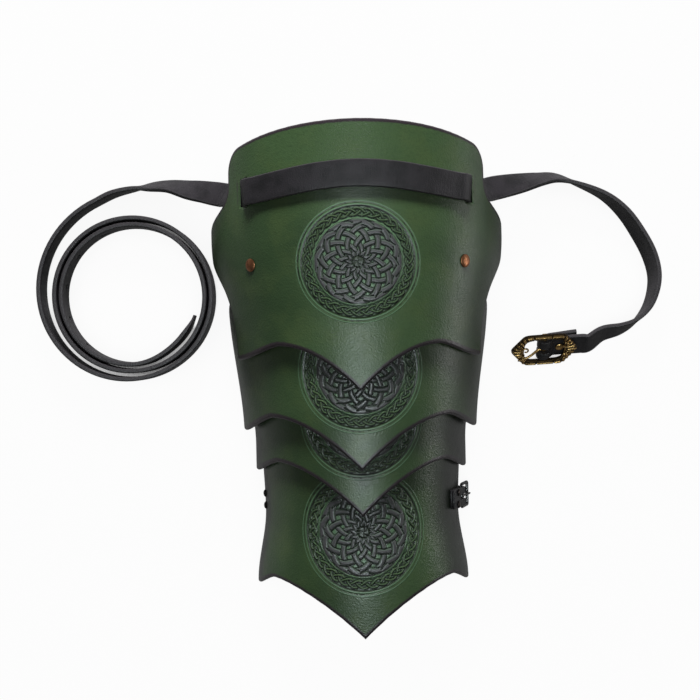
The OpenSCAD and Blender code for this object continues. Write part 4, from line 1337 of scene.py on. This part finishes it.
def wire(bm: bmesh.types.BMesh, path: np.ndarray, radii: np.ndarray, sides: int) -> None:
    """Adds a round wire of given radii along a path to a bmesh, closed at its ends."""
    run = unit(np.gradient(path, axis=0))
    first = np.array([0.0, 1.0, 0.0]) if abs(run[0][1]) < 0.9 else np.array([1.0, 0.0, 0.0])
    rings, side = [], unit(np.cross(run[0], first))
    turn = np.linspace(0, 2 * math.pi, sides + 1)[:, None]
    for point, way, r in zip(path, run, radii):
        side = unit(side - (side @ way) * way)
        rings.append(point + r * (np.cos(turn) * side + np.sin(turn) * np.cross(way, side)))
    made = bmesh.new()
    laid_grid(made, np.array(rings))
    close_up(made, 0.0005)
    spare = bpy.data.meshes.new("wire")
    made.to_mesh(spare)
    made.free()
    bm.from_mesh(spare)
    bpy.data.meshes.remove(spare)


def prong_ring(bm: bmesh.types.BMesh, radius: float, section: tuple, count: int,
               steps: int) -> None:
    """Adds a prong's ring about the axis Y through the origin.

    Args:
        bm: The bmesh.
        radius: Radius of the ring's middle line.
        section: Half the thickness and half the width of its oval section.
        count: Points of the section.
        steps: Steps of the full turn.
    """
    thick, wide = section
    around = np.linspace(0, 2 * math.pi, count + 1)[:-1]
    oval = [(radius + thick * math.cos(a), wide * math.sin(a), 0) for a in around]
    turned(bm, oval, (0, 1, 0), steps, closed=True)


@dataclass
class MainBuckle:
    """The cast buckle: a pointed frame with leaf ends and scrolls, its centre bar and its prong.

    Each hook of the scrolls is x, y, size, start and sweep in degrees, and thickness.
    """

    finishes: FinishSet
    length: float = 57.0
    width: float = 32.0
    thick: float = BUCKLE.frame_t
    straight: float = 35.5
    rail: float = 3.8
    point_out: float = 0.7
    shoulder: tuple = (4.0, 0.62)
    opening_r: float = 6.0
    softness: tuple = (0.7, 1.3)
    rib_deg: float = 16.5
    nick: tuple = (7.2, 0.55)
    bar_half: float = 13.1
    lug: tuple = (4.0, 1.9, 4.9)
    lug_at: tuple = (13.15, 0.45)
    ring_section: tuple = (0.62, 1.9)
    prong_bend: float = -14.8
    prong_tip: float = -21.6
    prong_skew: float = 24.0

    @property
    def opening_half(self) -> float:
        """Half the length of the opening."""
        return self.straight / 2 - 1

    @property
    def hooks(self) -> tuple:
        """The scrolls' hooks."""
        end = self.opening_half
        return ((end - 0.6, 5.6, 2.9, 100, -290, 1.0), (end - 0.4, -6.2, 2.8, -100, 280, 0.95),
                (-end + 0.4, -6.8, 2.6, -85, -270, 0.95), (-end + 1.2, 2.2, 3.0, 200, -320, 0.85),
                (-end - 0.8, -2.2, 2.0, 120, 250, 0.8))

    def outer(self, a: np.ndarray) -> np.ndarray:
        """Distance from the middle to the frame's outline at angle a."""
        half, side = self.straight / 2, self.width / 2
        out, low = self.shoulder[0], side * self.shoulder[1]
        above = [(self.length / 2 + self.point_out, 0), (half + out, low), (half, side),
                 (-half, side), (-half - out, low)]
        return self.hit(np.array(above + [(-x, -y) for x, y in above]), a, self.softness[0])

    def inner(self, a: np.ndarray) -> np.ndarray:
        """Distance from the middle to the opening's outline at angle a."""
        corners = round_box(self.opening_half, self.width / 2 - self.rail, self.opening_r, 7)
        return self.hit(corners, a, self.softness[1])

    def hit(self, corners: np.ndarray, a: np.ndarray, soft: float) -> np.ndarray:
        """Where rays at angles a leave a convex outline, with softer corners the less soft is."""
        way = np.stack([np.cos(a), np.sin(a)], -1)
        p, q = corners, np.roll(corners, -1, axis=0)
        edge = q - p
        cross = way[:, None, 0] * edge[None, :, 1] - way[:, None, 1] * edge[None, :, 0]
        lift = (p[:, 0] * edge[:, 1] - p[:, 1] * edge[:, 0])[None, :]
        with np.errstate(divide="ignore", invalid="ignore"):
            reach = lift / cross
        reach[~np.isfinite(reach) | (reach <= 0)] = 1e9
        least = reach.min(axis=1, keepdims=True)
        spread = np.exp(-soft * np.minimum(reach - least, 40)).sum(axis=1)
        return least[:, 0] - np.log(spread) / soft

    def carving(self, x: np.ndarray, y: np.ndarray, v: np.ndarray) -> np.ndarray:
        """Height of the cast relief, from 0 to 1, at points of the frame and share v across it."""
        past = np.abs(x) - self.opening_half
        fan = np.degrees(np.arctan2(y, past + 5.5))
        rib = 0.5 + 0.5 * np.cos(np.radians(fan * 360 / self.rib_deg))
        leaf = (0.25 + 0.75 * rib) * ease((v - 0.1) / 0.16) * (1 - 0.5 * ease((v - 0.8) / 0.2))
        rim = 0.85 * np.exp(-(((v - 0.05) / 0.07) ** 2))
        ridge = np.exp(-(((v - 0.74) / 0.26) ** 2)) + 0.5 * np.exp(-(((v - 0.12) / 0.1) ** 2))
        at, width = self.nick
        nicked = 1 - 0.9 * np.exp(-(((np.abs(x + 0.12 * y) - at) / width) ** 2))
        return np.clip(mix(ridge * nicked, np.maximum(leaf, rim), ease((past + 3.2) / 2.4)), 0, 1)

    def build_frame(self) -> bpy.types.Object:
        """Builds the frame with its bar, lugs and scrolls."""
        a, v = np.linspace(0, 2 * math.pi, 541), np.linspace(0, 1, 23)[:, None]
        reach = mix(self.inner(a), self.outer(a), v)
        x, y = reach * np.cos(a), reach * np.sin(a)
        cast = self.carving(x, y, v)
        edge = ease(np.minimum(v, 1 - v) / 0.14)
        low = -self.thick / 2
        top = low + self.thick * (0.45 + 0.2 * edge + 0.35 * cast * edge)
        bm = bmesh.new()
        patina_and_shade = bm.verts.layers.float.new("patina_and_shade")
        face = laid_grid(bm, np.stack([x, y, top], -1))
        base = laid_grid(bm, np.stack([x, y, np.full_like(x, low)], -1)[[0, -1]])
        for row, shares in zip(face + base, [*(1.0 - cast), *np.full((2, len(a)), 0.6)]):
            for vert, share in zip(row, shares):
                vert[patina_and_shade] = float(share)
        bmesh.ops.remove_doubles(bm, verts=bm.verts, dist=0.002)
        sides = [e for e in bm.edges if e.is_boundary]
        inner = [e for e in sides if self.near_opening(e)]
        outer = [e for e in sides if not self.near_opening(e)]
        for loop in (inner, outer):
            bmesh.ops.bridge_loops(bm, edges=loop)
        close_up(bm, 0.002)
        self.add_scrolls(bm)
        self.add_bar(bm)
        bmesh.ops.transform(bm, matrix=BUCKLE.matrix, verts=bm.verts)
        piece = object_from(bm, "buckle_frame_casting")
        self.finishes.dress(piece, Finish.BRASS)
        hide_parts("buckle_frame")
        log.info("%s: %d faces", piece.name, len(piece.data.polygons))
        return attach(piece, "buckle")

    def near_opening(self, edge: bmesh.types.BMEdge) -> bool:
        """Whether an edge lies on the opening's outline."""
        p = (edge.verts[0].co + edge.verts[1].co) / 2
        a = np.array([math.atan2(p.y, p.x)])
        return math.hypot(p.x, p.y) < float(mix(self.inner(a), self.outer(a), 0.5)[0])

    def add_scrolls(self, bm: bmesh.types.BMesh) -> None:
        """Adds the scrolls, hooks at the opening's corners and an open loop at its free end."""
        before = set(bm.verts)
        turn = np.linspace(0, 1, 26)
        for x, y, size, start, sweep, thick in self.hooks:
            r, a = size * mix(1.0, 0.42, turn), np.radians(start + sweep * turn)
            path = np.stack([x + r * np.cos(a), y + r * np.sin(a), 1.75 + 0.3 * turn], -1)
            wire(bm, path, thick * mix(1.0, 0.7, turn), 10)
        patina_and_shade = bm.verts.layers.float["patina_and_shade"]
        # Darker low on the scroll wires, towards the frame.
        for v in set(bm.verts) - before:
            v[patina_and_shade] = 0.9 - 0.85 * float(ease((v.co.z - 0.8) / 1.4))

    def add_bar(self, bm: bmesh.types.BMesh) -> None:
        """Adds the bar and the two lugs that hold it."""
        bar = [[0, s, -BUCKLE.bar_drop] for s in np.linspace(-self.bar_half, self.bar_half, 6)]
        wire(bm, np.array(bar), np.full(6, BUCKLE.bar_r), 24)
        y, lift = self.lug_at
        for side in (-1, 1):
            lug = bmesh.ops.create_cube(bm, size=1.0)["verts"]
            bmesh.ops.scale(bm, vec=self.lug, verts=lug)
            bmesh.ops.translate(bm, vec=(0, side * y, -BUCKLE.bar_drop + lift), verts=lug)
            rim = list({e for v in lug for e in v.link_edges})
            bmesh.ops.bevel(bm, geom=rim, offset=0.6, segments=2, profile=0.5, affect="EDGES",
                            material=-1)

    def build_prong(self) -> bpy.types.Object:
        """Builds the prong, its ring round the bar and its skewed finger."""
        bm = bmesh.new()
        ring_r, skew = BUCKLE.bar_r + 0.08 + 0.65, math.tan(math.radians(self.prong_skew)) * 0.9
        prong_ring(bm, ring_r, self.ring_section, 14, 36)
        bmesh.ops.translate(bm, vec=(0, 0, -BUCKLE.bar_drop), verts=bm.verts)
        start, tip, rest = -ring_r - 0.2, self.prong_tip, self.thick / 2 + 1.45
        knots = [(start, -BUCKLE.bar_drop + 1.6, 1.2), (start - 3, -0.6, 1.15), (-10, 1.9, 1.05),
                 (self.prong_bend, rest + 0.05, 1.0), (-17.5, rest, 0.95), (tip, rest - 0.1, 0.8)]
        x = np.linspace(start, tip, 26)
        kx, kz, kr = np.array(knots)[::-1].T
        z, r = np.interp(x, kx, kz), np.interp(x, kx, kr)
        z = np.convolve(np.pad(z, 2, mode="edge"), np.ones(5) / 5, mode="valid")
        r[-1] *= 0.55
        wire(bm, np.stack([x, (x - start) * skew, z], -1), r, 14)
        bmesh.ops.transform(bm, matrix=BUCKLE.matrix, verts=bm.verts)
        piece = object_from(bm, "buckle_prong_wire")
        self.finishes.dress(piece, Finish.BRASS)
        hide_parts("buckle_prong")
        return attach(piece, "prong")

    def build(self) -> None:
        """Builds the frame and the prong."""
        self.build_frame()
        self.build_prong()


@dataclass
class ArmFastening:
    """The strap inside the lower lame, the buckle tab outside it and the small buckle."""

    finishes: FinishSet
    width: float = 15.0
    thick: float = 2.4
    turn_r: float = 5.5
    strap_end_x: float = 83.97
    holes: int = 5
    hole_pitch: float = 18.0
    hole_r: float = 1.6
    tab_t: float = 1.8
    tab_gap: float = 0.3
    tab_slot: tuple = (9.54, 4.0, 12.68)
    tab_slot_at: tuple = (1.84, 0, 2.16)
    wire_r: float = 1.3
    play: float = 0.08
    heel_deg: float = 76.0
    lean: float = 21.5
    buckle_len: float = 16.8
    buckle_corner: float = 1.6
    ring_section: tuple = (0.48, 1.4)

    def wall(self, t: float, d: float) -> np.ndarray:
        """A point of the lower lame's wall at the arm strap's place."""
        return FORM.skin(3, t, FORM.arm_y, d)

    @property
    def heel(self) -> np.ndarray:
        """Middle of the heel bar."""
        lift = self.tab_gap + self.tab_t + self.wire_r + self.play
        return self.wall(self.heel_deg, 0) + lift * self.heel_out

    @property
    def heel_out(self) -> np.ndarray:
        """Direction away from the wall at the heel bar."""
        n = FORM.normal(3, self.heel_deg, FORM.arm_y)
        return unit(np.array([n[0], 0.0, n[2]]))

    def build_strap(self) -> bpy.types.Object:
        """Builds the strap, from its rivets in the left flank to its free end at the right."""
        ht, r, y = self.thick / 2, self.turn_r, FORM.arm_y
        depth = FORM.plate_t + 0.2 + ht
        low_x = self.wall(-84, depth)[0]
        pts = [self.wall(t, depth) for t in np.arange(-58, -84.1, -2.6)]
        pts += [(low_x + r + r * math.cos(a), y, r + ht + r * math.sin(a))
                for a in np.radians(np.arange(194, 271, 8))]
        pts += [(x, y, ht) for x in np.linspace(low_x + 12, self.strap_end_x, 26)]
        centres = np.array(pts)[::-1]
        strap = band("arm_strap_leather", centres, ALONG_ARM, self.width, self.thick, 0.7, 9.0)
        holes = [Matrix.Translation((self.strap_end_x - 8 - self.hole_pitch * i, y, ht))
                 for i in range(1, self.holes + 1)]
        cut_with(strap, punches(holes, self.hole_r, 4.0, 18))
        self.finishes.dress(strap, Finish.STRAP)
        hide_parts("arm_strap")
        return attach(strap, "lower")

    def build_tab(self) -> bpy.types.Object:
        """Builds the tab, folded round the heel bar, with the prong's slot."""
        seat, t, out = self.tab_gap + self.tab_t / 2, self.tab_t, self.heel_out
        up = np.array([-out[2], 0.0, out[0]])
        r = self.wire_r + self.play + t / 2
        pts = [self.wall(a, -seat) for a in np.arange(60, 73.1, 2.0)]
        pts += [self.heel + r * (math.cos(a) * up + math.sin(a) * out)
                for a in np.radians(np.arange(-78, -283, -17))]
        pts += [self.wall(a, -seat - t - 0.2) for a in np.arange(69, 59.9, -1.8)]
        tab = band("arm_tab_leather", np.array(pts), ALONG_ARM, self.width, t, 0.5)
        turn = Matrix.Rotation(-math.atan2(out[2], out[0]), 4, "Y")
        cut_with(tab, block(self.tab_slot, Matrix.Translation(self.heel) @ turn, self.tab_slot_at))
        self.finishes.dress(tab, Finish.STRAP)
        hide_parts("arm_tab")
        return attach(tab, "lower")

    def hung(self) -> Matrix:
        """The small buckle's own coordinates to the pauldron's: it hangs down its own -Z."""
        return Matrix.Translation(self.heel) @ Matrix.Rotation(-math.radians(self.lean), 4, "Y")

    def build_buckle(self) -> None:
        """Builds the wire frame, a closed loop of round wire."""
        flat, half = np.array([1.0, 0.0, 0.0]), self.buckle_len / 2
        corners = round_box(self.width / 2 + 0.3 + self.wire_r, half, self.buckle_corner, 7)
        path = np.array([(0.0, y, z - half) for y, z in corners])
        run = unit(np.roll(path, -1, axis=0) - np.roll(path, 1, axis=0))
        path, run = (np.vstack([rows, rows[:1]])[:, None, :] for rows in (path, run))
        turn = np.linspace(0, 2 * math.pi, 15)[None, :, None]
        section = np.cos(turn) * flat + np.sin(turn) * np.cross(run, flat)
        bm = bmesh.new()
        laid_grid(bm, path + self.wire_r * section)
        close_up(bm, 0.001)
        bmesh.ops.transform(bm, matrix=self.hung(), verts=bm.verts)
        piece = object_from(bm, "arm_buckle_wire")
        self.finishes.dress(piece, Finish.STEEL)
        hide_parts("arm_buckle_frame")
        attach(piece, "arm_buckle")

    def build_prong(self) -> None:
        """Builds the small prong with its ring round the heel bar."""
        bm = bmesh.new()
        ring_r = self.wire_r + self.play + 0.5
        prong_ring(bm, ring_r, self.ring_section, 12, 28)
        s = np.linspace(0, 1, 10)
        path = [mix(1.0, 2.5, s), np.zeros(10), mix(-ring_r + 0.1, -self.buckle_len, s)]
        wire(bm, np.stack(path, -1), np.where(s > 0.95, 0.6, 0.88), 12)
        bmesh.ops.transform(bm, matrix=self.hung(), verts=bm.verts)
        piece = object_from(bm, "arm_prong_wire")
        self.finishes.dress(piece, Finish.STEEL)
        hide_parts("arm_buckle_prong")
        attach(piece, "arm_prong")

    def build(self) -> None:
        """Builds the whole fastening."""
        self.build_strap()
        self.build_tab()
        self.build_buckle()
        self.build_prong()
        log.info("arm fastening: strap, tab, buckle and prong")


@dataclass(frozen=True)
class Lamp:
    """One soft light: where it hangs and what it faces in metres, its watts and its use."""

    name: str
    place: tuple
    aim: tuple
    size: tuple
    power: float
    tint: tuple = (1, 1, 1)
    lights: bool = True
    mirrored: bool = True

    def hang(self) -> None:
        """Makes the light."""
        data = bpy.data.lights.new(self.name, "AREA")
        data.shape, data.energy, data.color = "RECTANGLE", self.power, self.tint
        data.size, data.size_y = self.size
        lamp = bpy.data.objects.new(self.name, data)
        lamp.location = self.place
        way = Vector(self.aim) - Vector(self.place)
        lamp.rotation_euler = way.to_track_quat("-Z", "Y").to_euler()
        lamp.visible_diffuse, lamp.visible_glossy = self.lights, self.mirrored
        bpy.context.scene.collection.objects.link(lamp)


@dataclass
class Studio:
    """The pale surface, the soft lights and the camera straight above."""

    camera_mm: tuple = (-7.2, 24.7, 850.0)
    up: tuple = (0.0209, 0.99978, 0.0)
    lens: float = 52.9
    lamps: tuple = (
        Lamp("top_softbox", (0.0, -0.12, 1.35), (0, -0.03, 0.1), (0.4, 0.4), 2.6),
        Lamp("neck_softbox", (-0.05, 1.3, 0.62), (0, 0, 0.05), (0.5, 0.25), 42.0, mirrored=False),
        Lamp("top_gloss", (0.0, -0.2, 1.35), (0, -0.03, 0.1), (0.35, 0.35), 5.6,
             (0.84, 1.02, 1.04), lights=False),
        Lamp("right_gloss", (1.05, 0.02, 0.14), (0, 0.02, 0.06), (0.5, 0.14), 1.9, lights=False),
    )
    around: float = 0.12
    mirrored_low: float = 0.15
    mirrored_high: float = 0.03
    floor_mm: float = 4000.0
    floor_drop: float = 0.15
    floor_tone: float = 0.3
    floor_mirrored: float = 0.13
    floor_glow: float = 0.97
    shadow_tone: float = 0.96

    def camera(self) -> None:
        """Sets the camera at the photograph's place."""
        data = bpy.data.cameras.new("camera")
        data.lens, data.sensor_width, data.clip_start, data.clip_end = self.lens, 36.0, 0.05, 20.0
        piece = bpy.data.objects.new("camera", data)
        y = Vector(self.up).normalized()
        z = Vector((0, 0, 1))
        turn = Matrix((y.cross(z), y, z)).transposed().to_4x4()
        piece.matrix_world = Matrix.Translation(Vector(self.camera_mm) * MM) @ turn
        bpy.context.scene.collection.objects.link(piece)
        bpy.context.scene.camera = piece

    def world(self) -> None:
        """Gives soft grey light all round and a white background, dim in reflections."""
        world = bpy.data.worlds.new("studio")
        world.use_nodes = True
        bpy.context.scene.world = world
        n = Tree(world.node_tree)
        back = n.tree.nodes["Background"]
        path = n.add("ShaderNodeLightPath")
        way = n.add("ShaderNodeSeparateXYZ")
        n.feed(way.inputs[0], n.add("ShaderNodeTexCoord").outputs["Generated"])
        fade = n.ranged(way.outputs["Z"], "SMOOTHSTEP", From_Min=0.04, From_Max=0.4,
                        To_Min=self.mirrored_low, To_Max=self.mirrored_high)
        mirrored = n.math("MULTIPLY", path.outputs["Is Glossy Ray"], fade)
        plain = n.part(n.less(path.outputs["Is Glossy Ray"]), self.around)
        strength = n.math("MAXIMUM", n.seen(path), n.math("ADD", mirrored, plain))
        n.feed(back.inputs["Color"], (1, 1, 1, 1))
        n.feed(back.inputs["Strength"], strength)

    def floor(self) -> None:
        """Lays the pale surface, which keeps a soft share of the pauldron's shadow, with painted shade from
        ambient occlusion in its glow.
        """
        bm = bmesh.new()
        bmesh.ops.create_grid(bm, x_segments=1, y_segments=1, size=self.floor_mm)
        bmesh.ops.translate(bm, vec=(0, 0, -self.floor_drop), verts=bm.verts)
        piece = object_from(bm, "floor", smooth=False)
        n = Nodes("pale_surface")
        n.surface((self.floor_tone,) * 3 + (1,), 0.9, Specular_IOR_Level=0.1)
        glow = n.add("ShaderNodeEmission")
        path = n.add("ShaderNodeLightPath")
        mirrored = n.part(path.outputs["Is Glossy Ray"], self.floor_mirrored)
        share = n.part(n.math("MAXIMUM", n.seen(path), mirrored), self.floor_glow)
        # The glow is darkened by ambient occlusion under and between the pieces: painted shade.
        nook = n.add("ShaderNodeAmbientOcclusion", samples=32)
        n.feed(nook.inputs["Distance"], 0.3)
        deep, soft = n.step(nook.outputs["AO"], 0.0, 0.2), n.step(nook.outputs["AO"], 0.25, 0.75)
        shade = n.math("MULTIPLY", deep, n.span(soft, self.shadow_tone, 1.0))
        n.feed(glow.inputs["Color"], (1, 1, 1, 1))
        n.feed(glow.inputs["Strength"], shade)
        join = n.add("ShaderNodeMixShader")
        for socket, value in zip(join.inputs, (share, n.shader.outputs[0], glow.outputs[0])):
            n.feed(socket, value)
        n.feed(n.out.inputs["Surface"], join.outputs[0])
        piece.data.materials.append(n.material)

    def build(self) -> None:
        """Sets up the whole studio."""
        bpy.context.scene.view_settings.view_transform = "Standard"
        self.camera()
        for lamp in self.lamps:
            lamp.hang()
        self.world()
        self.floor()
        log.info("studio: camera, %d soft lights and the surface", len(self.lamps))


def dress_plain_nodes(finishes: FinishSet) -> None:
    """Dresses the CAD nodes in their slots' finishes, of which the burrs inside stay in view."""
    for row in frame["record"]["subparts"]:
        finishes.dress(frame["nodes"][row["node"]], Finish(row["material_slot"]))


def main() -> None:
    """Builds the studio, then the pauldron's pieces in order."""
    Studio().build()
    finishes = FinishSet()
    dress_plain_nodes(finishes)
    PlateMaker(finishes).build_all()
    ShoulderStrap(finishes).build()
    hangers = HangerStraps(finishes)
    hangers.build()
    Rivets(finishes, hangers).build()
    MainBuckle(finishes).build()
    ArmFastening(finishes).build()


if __name__ == "__main__":
    main()
